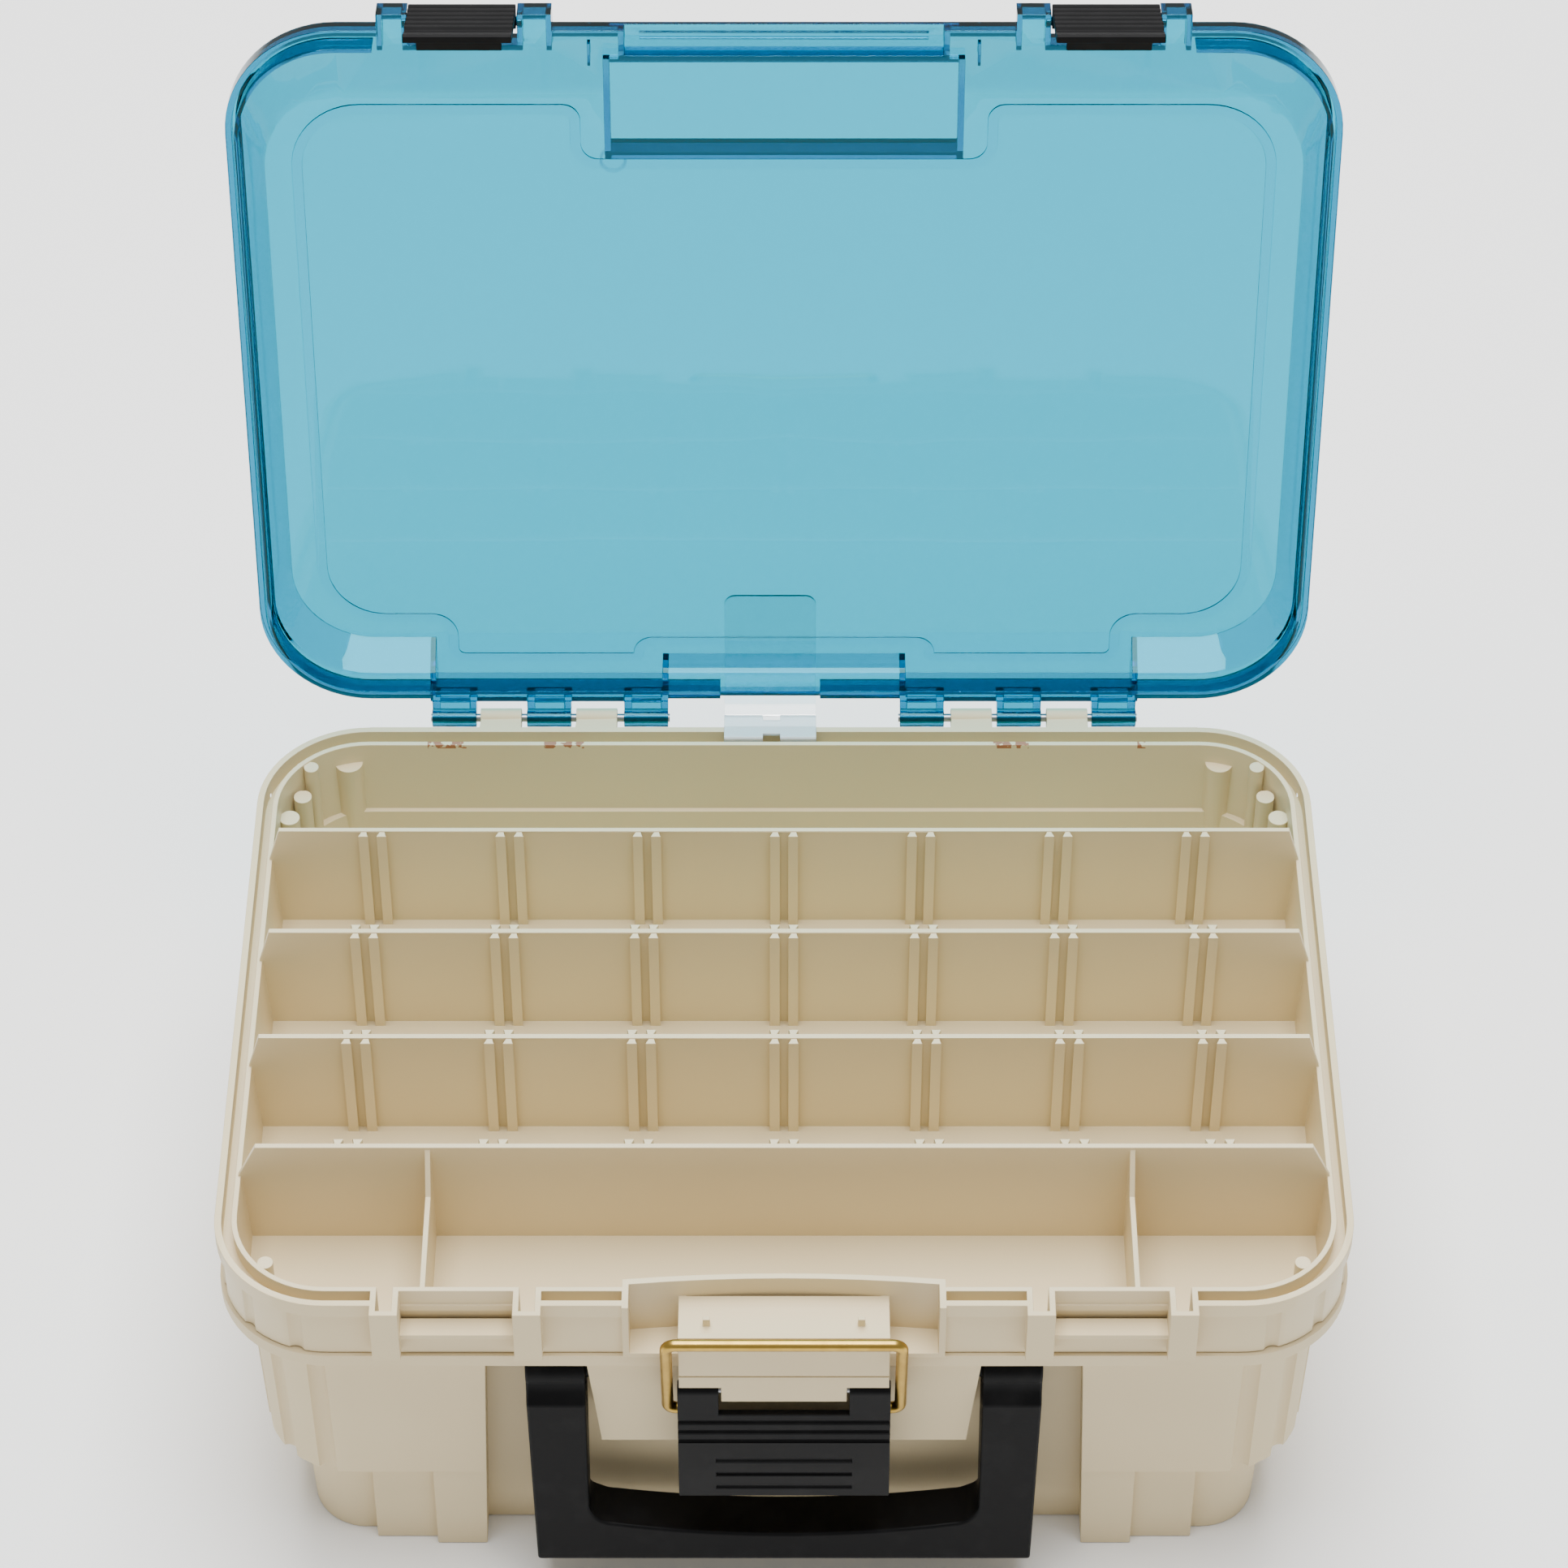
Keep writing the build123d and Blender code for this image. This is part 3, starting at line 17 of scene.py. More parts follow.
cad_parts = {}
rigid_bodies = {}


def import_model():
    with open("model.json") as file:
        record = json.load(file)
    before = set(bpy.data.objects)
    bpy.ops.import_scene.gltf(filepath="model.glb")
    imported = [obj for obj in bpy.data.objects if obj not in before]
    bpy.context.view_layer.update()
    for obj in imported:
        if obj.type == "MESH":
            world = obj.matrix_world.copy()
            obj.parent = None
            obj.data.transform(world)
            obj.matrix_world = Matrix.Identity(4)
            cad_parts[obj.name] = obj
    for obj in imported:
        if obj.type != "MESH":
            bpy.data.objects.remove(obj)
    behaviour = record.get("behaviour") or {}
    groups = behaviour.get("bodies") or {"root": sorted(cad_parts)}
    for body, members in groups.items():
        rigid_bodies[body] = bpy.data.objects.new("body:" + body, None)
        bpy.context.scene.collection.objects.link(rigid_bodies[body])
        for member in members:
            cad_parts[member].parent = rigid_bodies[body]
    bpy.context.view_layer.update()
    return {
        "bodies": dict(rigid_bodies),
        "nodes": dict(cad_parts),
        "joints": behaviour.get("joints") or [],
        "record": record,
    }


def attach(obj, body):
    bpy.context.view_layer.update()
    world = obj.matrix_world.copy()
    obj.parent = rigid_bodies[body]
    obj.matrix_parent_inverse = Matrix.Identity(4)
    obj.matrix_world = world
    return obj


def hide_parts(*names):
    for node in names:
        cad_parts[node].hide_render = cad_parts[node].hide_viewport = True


LOG = logging.getLogger("tackle_box")

Point = tuple[float, float, float]


class Side(Enum):
    """Which of a pair of pieces is meant, seen from the front."""

    LEFT = "left"
    RIGHT = "right"


class Skin(Enum):
    """How the triangles of a solid are treated before its edges are rounded."""

    TRIANGLES = "kept as triangles, for pieces with many openings"
    JOINED = "flat areas joined into single faces"


class MouldSurface(Enum):
    """How the steel of a mould was finished, which the plastic copies."""

    ERODED = "eroded all over"
    ERODED_OUTSIDE = "eroded outside and polished inside"


def linear(code: str) -> tuple[float, float, float, float]:
    """Turn an sRGB hex colour into linear light.

    Args:
        code: Six hex digits after a hash sign.

    Returns:
        Red, green, blue and an alpha of one.
    """
    parts = [int(code[place:place + 2], 16) / 255 for place in (1, 3, 5)]
    light = [p / 12.92 if p <= 0.04045 else ((p + 0.055) / 1.055) ** 2.4 for p in parts]
    return light[0], light[1], light[2], 1.0


def add_node(tree: bpy.types.NodeTree, kind: str, settings: dict | None = None,
             links: dict | None = None) -> bpy.types.Node:
    """Add one node, set it and link it.

    Args:
        tree: The node tree that gets the node.
        kind: Blender's name for the node type.
        settings: Values by property name, or by name or number of an input.
        links: Output sockets by name or number of the input that they feed.

    Returns:
        The new node.
    """
    node = tree.nodes.new(kind)
    # Properties come first, because some of them change which inputs there are
    for name, value in (settings or {}).items():
        if isinstance(name, str) and hasattr(node, name) and name not in node.inputs:
            setattr(node, name, value)
    for name, value in (settings or {}).items():
        if isinstance(name, int) or name in node.inputs:
            node.inputs[name].default_value = value
    for name, output in (links or {}).items():
        tree.links.new(output, node.inputs[name])
    return node


def new_material(name: str) -> tuple[bpy.types.Material, bpy.types.NodeTree]:
    """Make an empty node material.

    Args:
        name: The name of the finish.

    Returns:
        The material and its emptied node tree.
    """
    material = bpy.data.materials.new(name)
    material.use_nodes = True
    material.node_tree.nodes.clear()
    return material, material.node_tree


@dataclass(frozen=True)
class Pattern:
    """An uneven pattern, by the real size of its spots and how finely they break up."""

    size: float
    detail: float

    def settings(self) -> dict[str, float]:
        """Give what a noise node is set to."""
        return {"Scale": 1 / self.size, "Detail": self.detail}


@dataclass(frozen=True)
class Relief:
    """How high a pattern stands on a surface, and how much of that is shown."""

    height: float
    strength: float

    def settings(self) -> dict[str, float]:
        """Give what a bump node is set to."""
        return {"Distance": self.height, "Strength": self.strength}


@dataclass(frozen=True)
class MouldedPolypropylene:
    """Beige injection-moulded polypropylene, matt outside and smoother inside."""

    name: str
    surface: MouldSurface
    colour: str = "#DCCBA3"
    deep_colour: str = "#D2BF97"
    # Pigment drifts a little over hand-sized areas as the melt flows
    drift: Pattern = Pattern(0.070, 2.0)
    ior: float = 1.49
    rough_outside: float = 0.58
    rough_inside: float = 0.40
    # The eroded grain of the mould is about 0.4 mm, drawn coarser so that it shows
    grain: Pattern = Pattern(0.0009, 3.0)
    relief: Relief = Relief(0.00012, 0.35)
    strength_inside: float = 0.05
    outside_x: float = 0.1842
    outside_y: float = 0.1300
    # The middle and half the length of each brown rub mark, along the rear lip
    scuffs: tuple[tuple[float, float], ...] = ()
    scuff_colour: str = "#9C6240"
    scuff_y: float = 0.1245
    scuff_width: float = 0.0045
    scuff_z: float = 0.1384
    # Rub marks break up over about 3 mm
    torn: Pattern = Pattern(0.003, 4.0)
    torn_level: float = 0.47

    def outside_mask(self, tree: bpy.types.NodeTree,
                     place: bpy.types.NodeSocket) -> bpy.types.NodeSocket:
        """Tell the eroded outside from the smooth inside.

        Args:
            tree: The material's node tree.
            place: Object coordinates.

        Returns:
            A socket that is one outside and nought inside.
        """
        split = add_node(tree, "ShaderNodeSeparateXYZ", links={0: place})
        beyond = []
        for axis, reach in (("X", self.outside_x), ("Y", self.outside_y)):
            distance = add_node(tree, "ShaderNodeMath", {"operation": "ABSOLUTE"},
                                {0: split.outputs[axis]})
            past = add_node(tree, "ShaderNodeMath", {"operation": "GREATER_THAN", 1: reach},
                            {0: distance.outputs[0]})
            beyond.append(past.outputs[0])
        either = add_node(tree, "ShaderNodeMath", {"operation": "MAXIMUM"},
                          {0: beyond[0], 1: beyond[1]})
        return either.outputs[0]

    def scuff_mask(self, tree: bpy.types.NodeTree,
                   place: bpy.types.NodeSocket) -> bpy.types.NodeSocket:
        """Find the brown rub marks on the rear lip.

        Args:
            tree: The material's node tree.
            place: Object coordinates.

        Returns:
            A socket that is one on a mark and nought elsewhere.
        """
        split = add_node(tree, "ShaderNodeSeparateXYZ", links={0: place})
        marks = [add_node(tree, "ShaderNodeMath",
                          {"operation": "COMPARE", 1: middle, 2: reach},
                          {0: split.outputs["X"]}).outputs[0]
                 for middle, reach in self.scuffs]
        mask = marks[0]
        for mark in marks[1:]:
            mask = add_node(tree, "ShaderNodeMath", {"operation": "MAXIMUM"},
                            {0: mask, 1: mark}).outputs[0]
        spots = add_node(tree, "ShaderNodeTexNoise", self.torn.settings(), {"Vector": place})
        for operation, limit, value in (
                ("GREATER_THAN", self.scuff_z, split.outputs["Z"]),
                ("GREATER_THAN", self.scuff_y, split.outputs["Y"]),
                ("LESS_THAN", self.scuff_y + self.scuff_width, split.outputs["Y"]),
                ("GREATER_THAN", self.torn_level, spots.outputs[0])):
            within = add_node(tree, "ShaderNodeMath", {"operation": operation, 1: limit},
                              {0: value})
            mask = add_node(tree, "ShaderNodeMath", {"operation": "MULTIPLY"},
                            {0: mask, 1: within.outputs[0]}).outputs[0]
        return mask

    def material(self) -> bpy.types.Material:
        """Build the finish.

        Returns:
            The material, whose soft broad highlights read as a matt, slightly waxy plastic.
        """
        material, tree = new_material(self.name)
        place = add_node(tree, "ShaderNodeTexCoord").outputs["Object"]
        drift = add_node(tree, "ShaderNodeTexNoise", self.drift.settings(), {"Vector": place})
        colour = add_node(tree, "ShaderNodeMix",
                          {"data_type": "RGBA", 6: linear(self.colour),
                           7: linear(self.deep_colour)},
                          {"Factor": drift.outputs[0]}).outputs[2]
        if self.scuffs:
            colour = add_node(tree, "ShaderNodeMix",
                              {"data_type": "RGBA", 7: linear(self.scuff_colour)},
                              {"Factor": self.scuff_mask(tree, place), 6: colour}).outputs[2]
        grain = add_node(tree, "ShaderNodeTexNoise", self.grain.settings(), {"Vector": place})
        bump = add_node(tree, "ShaderNodeBump", self.relief.settings(),
                        {"Height": grain.outputs[0]})
        shader = add_node(tree, "ShaderNodeBsdfPrincipled",
                          {"IOR": self.ior, "Roughness": self.rough_outside},
                          {"Base Color": colour, "Normal": bump.outputs[0]})
        if self.surface is MouldSurface.ERODED_OUTSIDE:
            mask = self.outside_mask(tree, place)
            for inside, outside, socket in (
                    (self.rough_inside, self.rough_outside, shader.inputs["Roughness"]),
                    (self.strength_inside, self.relief.strength, bump.inputs["Strength"])):
                value = add_node(tree, "ShaderNodeMapRange",
                                 {"To Min": inside, "To Max": outside}, {"Value": mask})
                tree.links.new(value.outputs[0], socket)
        add_node(tree, "ShaderNodeOutputMaterial", links={"Surface": shader.outputs[0]})
        return material


@dataclass(frozen=True)
class TintedStyrene:
    """Transparent styrene copolymer, tinted in the mass, from a polished mould."""

    name: str = "tinted_styrene_polished"
    tint: str = "#10A8C0"
    # Deeper tint painted on edge-on flanks as shade, also used for the ejector ring's line
    painted_flank_shade_and_ring_tint: str = "#008AA6"
    gloss_tint: str = "#7FE3F2"
    shadow_colour: str = "#E6F7FA"
    # The lid's panel faces along this axis. A surface that faces along it by the first
    # share or less has all the flank tint, a painted shade for light's longer path through
    # edge-on plastic, and by the second or more all the panel's
    panel_axis: Point = (0.0, 0.9875, -0.1576)
    flank_facing: float = 0.15
    panel_facing: float = 0.97
    # The tint deepens with the length of the path, so edges look darker than the panel
    absorption_colour: tuple[float, float, float, float] = (0.0, 0.945, 0.968, 1.0)
    density: float = 1900.0
    ior: float = 1.57
    specular: float = 0.08
    roughness: float = 0.03
    # Moulded sheet is never quite flat: broad waves of about 45 mm bend reflections
    waves: Pattern = Pattern(0.045, 1.0)
    relief: Relief = Relief(0.0006, 0.25)
    # An ejector pin leaves a faint ring beside the middle of the panel
    mark_place: Point = (-0.0581, 0.0, 0.3514)
    mark_radius: float = 0.0042
    mark_line: float = 0.0005
    mark_depth: float = 1.0

    def panel_share(self, tree: bpy.types.NodeTree,
                    normal: bpy.types.NodeSocket) -> bpy.types.NodeSocket:
        """Tell the panel from the flanks of the bead and the rim, which get a painted shade.

        Args:
            tree: The material's node tree.
            normal: The way that the surface faces.

        Returns:
            A socket that is one on the panel and falls to nought on the flanks.
        """
        facing = add_node(tree, "ShaderNodeVectorMath",
                          {"operation": "DOT_PRODUCT", 1: self.panel_axis}, {0: normal})
        facing = add_node(tree, "ShaderNodeMath", {"operation": "ABSOLUTE"},
                          {0: facing.outputs["Value"]})
        share = add_node(tree, "ShaderNodeMapRange",
                         {"From Min": self.flank_facing, "From Max": self.panel_facing},
                         {"Value": facing.outputs[0]})
        return share.outputs[0]

    def ring_mask(self, tree: bpy.types.NodeTree,
                  place: bpy.types.NodeSocket) -> bpy.types.NodeSocket:
        """Find the ring that the ejector pin left.

        Args:
            tree: The material's node tree.
            place: Object coordinates.

        Returns:
            A socket that is one on the ring's line and nought elsewhere.
        """
        away = add_node(tree, "ShaderNodeVectorMath",
                        {"operation": "SUBTRACT", 1: self.mark_place}, {0: place})
        away = add_node(tree, "ShaderNodeVectorMath",
                        {"operation": "MULTIPLY", 1: (1.0, 0.0, 1.0)}, {0: away.outputs[0]})
        away = add_node(tree, "ShaderNodeVectorMath", {"operation": "LENGTH"},
                        {0: away.outputs[0]})
        ring = add_node(tree, "ShaderNodeMath",
                        {"operation": "COMPARE", 1: self.mark_radius, 2: self.mark_line},
                        {0: away.outputs["Value"]})
        return ring.outputs[0]

    def material(self) -> bpy.types.Material:
        """Build the finish.

        Returns:
            The material, clear with a tint that gathers in thick and edge-on places, deepened on
            the flanks by painted shade.
        """
        material, tree = new_material(self.name)
        spot = add_node(tree, "ShaderNodeTexCoord")
        place = spot.outputs["Object"]
        paleness = add_node(tree, "ShaderNodeMath",
                            {"operation": "MULTIPLY_ADD", 1: -self.mark_depth},
                            {0: self.ring_mask(tree, place),
                             2: self.panel_share(tree, spot.outputs["Normal"])})
        # Edge-on flanks get painted shade, a deeper tint for light's longer path through the
        # plastic; the ejector ring takes the same tint
        tint = add_node(tree, "ShaderNodeMix",
                        {"data_type": "RGBA", 6: linear(self.painted_flank_shade_and_ring_tint),
                         7: linear(self.tint)},
                        {"Factor": paleness.outputs[0]})
        waves = add_node(tree, "ShaderNodeTexNoise", self.waves.settings(), {"Vector": place})
        bump = add_node(tree, "ShaderNodeBump", self.relief.settings(),
                        {"Height": waves.outputs[0]})
        clear = add_node(tree, "ShaderNodeBsdfPrincipled",
                         {"Roughness": self.roughness, "IOR": self.ior,
                          "Specular IOR Level": self.specular,
                          "Specular Tint": linear(self.gloss_tint),
                          "Transmission Weight": 1.0},
                         {"Base Color": tint.outputs[2], "Normal": bump.outputs[0]})
        # Light falls through to what lies behind, so the shadow is pale and tinted
        open_to_light = add_node(tree, "ShaderNodeBsdfTransparent",
                                 {"Color": linear(self.shadow_colour)})
        ray = add_node(tree, "ShaderNodeLightPath")
        mixed = add_node(tree, "ShaderNodeMixShader", None,
                         {0: ray.outputs["Is Shadow Ray"], 1: clear.outputs[0],
                          2: open_to_light.outputs[0]})
        depth = add_node(tree, "ShaderNodeVolumeAbsorption",
                         {"Color": self.absorption_colour, "Density": self.density})
        add_node(tree, "ShaderNodeOutputMaterial",
                 links={"Surface": mixed.outputs[0], "Volume": depth.outputs[0]})
        return material


@dataclass(frozen=True)
class BlackPlastic:
    """Black moulded plastic, from matt to satin by its roughness and grain."""

    name: str
    roughness: float
    specular: float
    colour: str = "#0C0C0D"
    worn_colour: str = "#1B1B1C"
    ior: float = 1.50
    # Handling dulls black plastic in patches of about 12 mm
    wear: Pattern = Pattern(0.012, 5.0)
    wear_start: float = 0.52
    wear_full: float = 0.78
    wear_most: float = 0.6
    smoother: float = 0.06
    rougher: float = 0.08
    # Grain of about 0.4 mm, drawn coarser so that it shows
    grain: Pattern = Pattern(0.0010, 2.0)
    relief: Relief = Relief(0.00010, 0.20)

    def material(self) -> bpy.types.Material:
        """Build the finish.

        Returns:
            The material, deep black with a soft sheen where light grazes it.
        """
        material, tree = new_material(self.name)
        place = add_node(tree, "ShaderNodeTexCoord").outputs["Object"]
        wear = add_node(tree, "ShaderNodeTexNoise", self.wear.settings(), {"Vector": place})
        patches = add_node(tree, "ShaderNodeMapRange",
                           {"From Min": self.wear_start, "From Max": self.wear_full,
                            "To Max": self.wear_most},
                           {"Value": wear.outputs[0]})
        colour = add_node(tree, "ShaderNodeMix",
                          {"data_type": "RGBA", 6: linear(self.colour),
                           7: linear(self.worn_colour)},
                          {"Factor": patches.outputs[0]})
        rough = add_node(tree, "ShaderNodeMapRange",
                         {"To Min": self.roughness - self.smoother,
                          "To Max": self.roughness + self.rougher},
                         {"Value": wear.outputs[0]})
        grain = add_node(tree, "ShaderNodeTexNoise", self.grain.settings(), {"Vector": place})
        bump = add_node(tree, "ShaderNodeBump", self.relief.settings(),
                        {"Height": grain.outputs[0]})
        shader = add_node(tree, "ShaderNodeBsdfPrincipled",
                          {"IOR": self.ior, "Specular IOR Level": self.specular},
                          {"Base Color": colour.outputs[2], "Roughness": rough.outputs[0],
                           "Normal": bump.outputs[0]})
        add_node(tree, "ShaderNodeOutputMaterial", links={"Surface": shader.outputs[0]})
        return material


@dataclass(frozen=True)
class DrawnWire:
    """Metal wire drawn through a die, which leaves faint lines on it."""

    name: str
    colour: str
    tarnish: str
    # Tarnish gathers in spots of about 5 mm
    spots: Pattern = Pattern(0.005, 4.0)
    rough_bright: float = 0.23
    rough_tarnished: float = 0.40
    # Marks of the die are finer than 0.1 mm, drawn at 0.6 mm so that they show
    lines: Pattern = Pattern(0.0006, 2.0)
    relief: Relief = Relief(0.00003, 0.25)

    def material(self) -> bpy.types.Material:
        """Build the finish.

        Returns:
            The material, a bright metal with faint tarnish and fine lines.
        """
        material, tree = new_material(self.name)
        place = add_node(tree, "ShaderNodeTexCoord").outputs["Object"]
        spots = add_node(tree, "ShaderNodeTexNoise", self.spots.settings(), {"Vector": place})
        colour = add_node(tree, "ShaderNodeMix",
                          {"data_type": "RGBA", 6: linear(self.colour),
                           7: linear(self.tarnish)},
                          {"Factor": spots.outputs[0]})
        rough = add_node(tree, "ShaderNodeMapRange",
                         {"To Min": self.rough_bright, "To Max": self.rough_tarnished},
                         {"Value": spots.outputs[0]})
        lines = add_node(tree, "ShaderNodeTexNoise", self.lines.settings(), {"Vector": place})
        bump = add_node(tree, "ShaderNodeBump", self.relief.settings(),
                        {"Height": lines.outputs[0]})
        shader = add_node(tree, "ShaderNodeBsdfPrincipled", {"Metallic": 1.0},
                          {"Base Color": colour.outputs[2], "Roughness": rough.outputs[0],
                           "Normal": bump.outputs[0]})
        add_node(tree, "ShaderNodeOutputMaterial", links={"Surface": shader.outputs[0]})
        return material


@dataclass(frozen=True)
class NaturalPolypropylene:
    """Unpigmented polypropylene, milky and a little see-through."""

    name: str
    clearness: float
    colour: str = "#F8FBFB"
    ior: float = 1.49
    # Unpigmented plastic clouds unevenly, over about 6 mm
    clouds: Pattern = Pattern(0.006, 2.0)
    relief: Relief = Relief(0.00015, 0.2)
    rough_least: float = 0.05
    rough_most: float = 0.14

    def material(self) -> bpy.types.Material:
        """Build the finish.

        Returns:
            The material, whose body scatters light so that the strap looks milky.
        """
        material, tree = new_material(self.name)
        place = add_node(tree, "ShaderNodeTexCoord").outputs["Object"]
        clouds = add_node(tree, "ShaderNodeTexNoise", self.clouds.settings(),
                          {"Vector": place})
        rough = add_node(tree, "ShaderNodeMapRange",
                         {"To Min": self.rough_least, "To Max": self.rough_most},
                         {"Value": clouds.outputs[0]})
        bump = add_node(tree, "ShaderNodeBump", self.relief.settings(),
                        {"Height": clouds.outputs[0]})
        shader = add_node(tree, "ShaderNodeBsdfPrincipled",
                          {"Base Color": linear(self.colour), "IOR": self.ior,
                           "Transmission Weight": self.clearness},
                          {"Roughness": rough.outputs[0], "Normal": bump.outputs[0]})
        add_node(tree, "ShaderNodeOutputMaterial", links={"Surface": shader.outputs[0]})
        return material


@dataclass(frozen=True)
class FloorPaper:
    """Plain white backdrop paper under the box."""

    name: str = "backdrop_paper"
    colour: str = "#FBFBFA"
    roughness: float = 0.9
    # Bundles of fibre of about 3 mm
    fibre: Pattern = Pattern(0.003, 2.0)
    relief: Relief = Relief(0.00005, 0.1)

    def material(self) -> bpy.types.Material:
        """Build the finish.

        Returns:
            The material, matt white with the faint fibre of uncoated paper.
        """
        material, tree = new_material(self.name)
        place = add_node(tree, "ShaderNodeTexCoord").outputs["Object"]
        fibre = add_node(tree, "ShaderNodeTexNoise", self.fibre.settings(), {"Vector": place})
        bump = add_node(tree, "ShaderNodeBump", self.relief.settings(),
                        {"Height": fibre.outputs[0]})
        shader = add_node(tree, "ShaderNodeBsdfPrincipled",
                          {"Base Color": linear(self.colour), "Roughness": self.roughness},
                          {"Normal": bump.outputs[0]})
        add_node(tree, "ShaderNodeOutputMaterial", links={"Surface": shader.outputs[0]})
        return material


def add_object(skin: bmesh.types.BMesh, mesh_name: str, name: str,
               finish: bpy.types.Material) -> bpy.types.Object:
    """Turn a finished skin into an object of the scene.

    Args:
        skin: The skin, which is freed.
        mesh_name: The name of its mesh.
        name: The name of the object.
        finish: The material that it gets.

    Returns:
        The object, with its origin at the world's.
    """
    mesh = bpy.data.meshes.new(mesh_name)
    skin.to_mesh(mesh)
    skin.free()
    mesh.materials.append(finish)
    piece = bpy.data.objects.new(name, mesh)
    bpy.context.scene.collection.objects.link(piece)
    return piece


@dataclass
class MouldedPiece:
    """One moulded piece whose solid is right and whose edges are softened for the eye."""

    node: str
    body: str
    slot: str
    edge_width: float
    skin: Skin = Skin.JOINED
    edge_steps: int = 2
    # Edges bent by more degrees than this are rounded
    edge_angle: float = 32.0
    # Faces that meet at fewer degrees than this are joined
    flat_angle: float = 0.4
    # Edges that still bend by more degrees than this show as creases
    crease_angle: float = 48.0
    # How many edge widths of room a triangle needs beside a rounded edge
    room: float = 1.5
    measured: str = "WIDTH"
    fillets: bool = True
    weld_distance: float = 2e-6
    area_weight: int = 50

    def merged_copy(self, frame: dict) -> bmesh.types.BMesh:
        """Copy the solid's triangles and join them into a closed skin.

        Args:
            frame: The loaded frame.

        Returns:
            The mesh of the closed skin, ready to have its edges rounded.
        """
        skin = bmesh.new()
        skin.from_mesh(frame["nodes"][self.node].data)
        bmesh.ops.remove_doubles(skin, verts=skin.verts, dist=self.weld_distance)
        bmesh.ops.dissolve_degenerate(skin, edges=skin.edges, dist=self.weld_distance)
        if self.skin is Skin.JOINED:
            bmesh.ops.dissolve_limit(skin, angle_limit=math.radians(self.flat_angle),
                                     verts=skin.verts, edges=skin.edges,
                                     use_dissolve_boundaries=False)
        return skin

    def has_room(self, edge: bmesh.types.BMEdge) -> bool:
        """Tell whether both faces beside an edge are wide enough for it to be rounded.

        Args:
            edge: An edge between two triangles.

        Returns:
            False beside a sliver, where the rounding would fold over.
        """
        least = min(2 * face.calc_area() for face in edge.link_faces)
        return least > self.room * self.edge_width * edge.calc_length()

    def soften(self, skin: bmesh.types.BMesh) -> None:
        """Round the edges as the mould does.

        Args:
            skin: The closed skin of the piece.
        """
        sharp = [edge for edge in skin.edges if edge.is_manifold
                 and edge.calc_face_angle(0.0) > math.radians(self.edge_angle)
                 and (self.fillets or edge.is_convex)]
        if self.skin is Skin.TRIANGLES:
            sharp = [edge for edge in sharp if self.has_room(edge)]
        bmesh.ops.bevel(skin, geom=sharp, offset=self.edge_width, offset_type=self.measured,
                        affect="EDGES", segments=self.edge_steps, profile=0.5, material=-1,
                        clamp_overlap=False, loop_slide=self.skin is Skin.JOINED)
        for face in skin.faces:
            face.smooth = True
        for edge in skin.edges:
            edge.smooth = edge.calc_face_angle(0.0) < math.radians(self.crease_angle)

    def build(self, frame: dict, finish: bpy.types.Material) -> None:
        """Make the piece, dress it and let it stand for its solid.

        Args:
            frame: The loaded frame.
            finish: The material that it gets.
        """
        skin = self.merged_copy(frame)
        self.soften(skin)
        piece = add_object(skin, f"{self.node}_skin", f"{self.node}_dressed", finish)
        # Normals weighted by area keep flat walls flat to the eye beside their rounded edges
        flats = piece.modifiers.new("flat_walls", "WEIGHTED_NORMAL")
        flats.weight = self.area_weight
        flats.keep_sharp = True
        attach(piece, self.body)
        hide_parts(self.node)
        LOG.info("%s: %d faces", piece.name, len(piece.data.polygons))


def dress_node(frame: dict, node: str, finish: bpy.types.Material) -> None:
    """Give a solid that stays in view its finish.

    Args:
        frame: The loaded frame.
        node: The name of the solid.
        finish: The material that it gets.
    """
    for place in frame["nodes"][node].material_slots:
        place.material = finish
    LOG.info("%s: kept, with %s", node, finish.name)


@dataclass
class LowerLevel:
    """The lower shell with the pins that it carries."""

    shell_edge: float = 0.0004
    pins: tuple[str, ...] = ("level_hinge_pin_left", "level_hinge_pin_right", "lever_pin")

    def build(self, frame: dict, shell: bpy.types.Material, steel: bpy.types.Material) -> None:
        """Make the shell and dress its pins.

        Args:
            frame: The loaded frame.
            shell: The finish of the shell.
            steel: The finish of the pins.
        """
        # Fillets would close the narrow gap that the raised handle needs
        MouldedPiece("lower_shell", "base", "shell_plastic", self.shell_edge,
                     Skin.TRIANGLES, fillets=False).build(frame, shell)
        for pin in self.pins:
            dress_node(frame, pin, steel)


@dataclass
class UpperLevel:
    """The tray with the pins of the lid hinge and the lower leaf of the strap."""

    tray_edge: float = 0.00022
    tray_room: float = 2.5
    strap_edge: float = 0.00030
    pins: tuple[str, ...] = ("lid_hinge_pin_left", "lid_hinge_pin_right")

    def build(self, frame: dict, tray: bpy.types.Material, steel: bpy.types.Material,
              strap: bpy.types.Material) -> None:
        """Make the tray and the strap leaf, and dress the pins.

        Args:
            frame: The loaded frame.
            tray: The finish of the tray.
            steel: The finish of the pins.
            strap: The finish of the strap.
        """
        # Measured by width, the rounding would run off the narrow faces of the rear corners
        MouldedPiece("tray_shell", "upper_level", "tray_plastic", self.tray_edge,
                     Skin.TRIANGLES, room=self.tray_room,
                     measured="OFFSET").build(frame, tray)
        MouldedPiece("strap_lower_leaf", "upper_level", "strap_plastic",
                     self.strap_edge).build(frame, strap)
        for pin in self.pins:
            dress_node(frame, pin, steel)


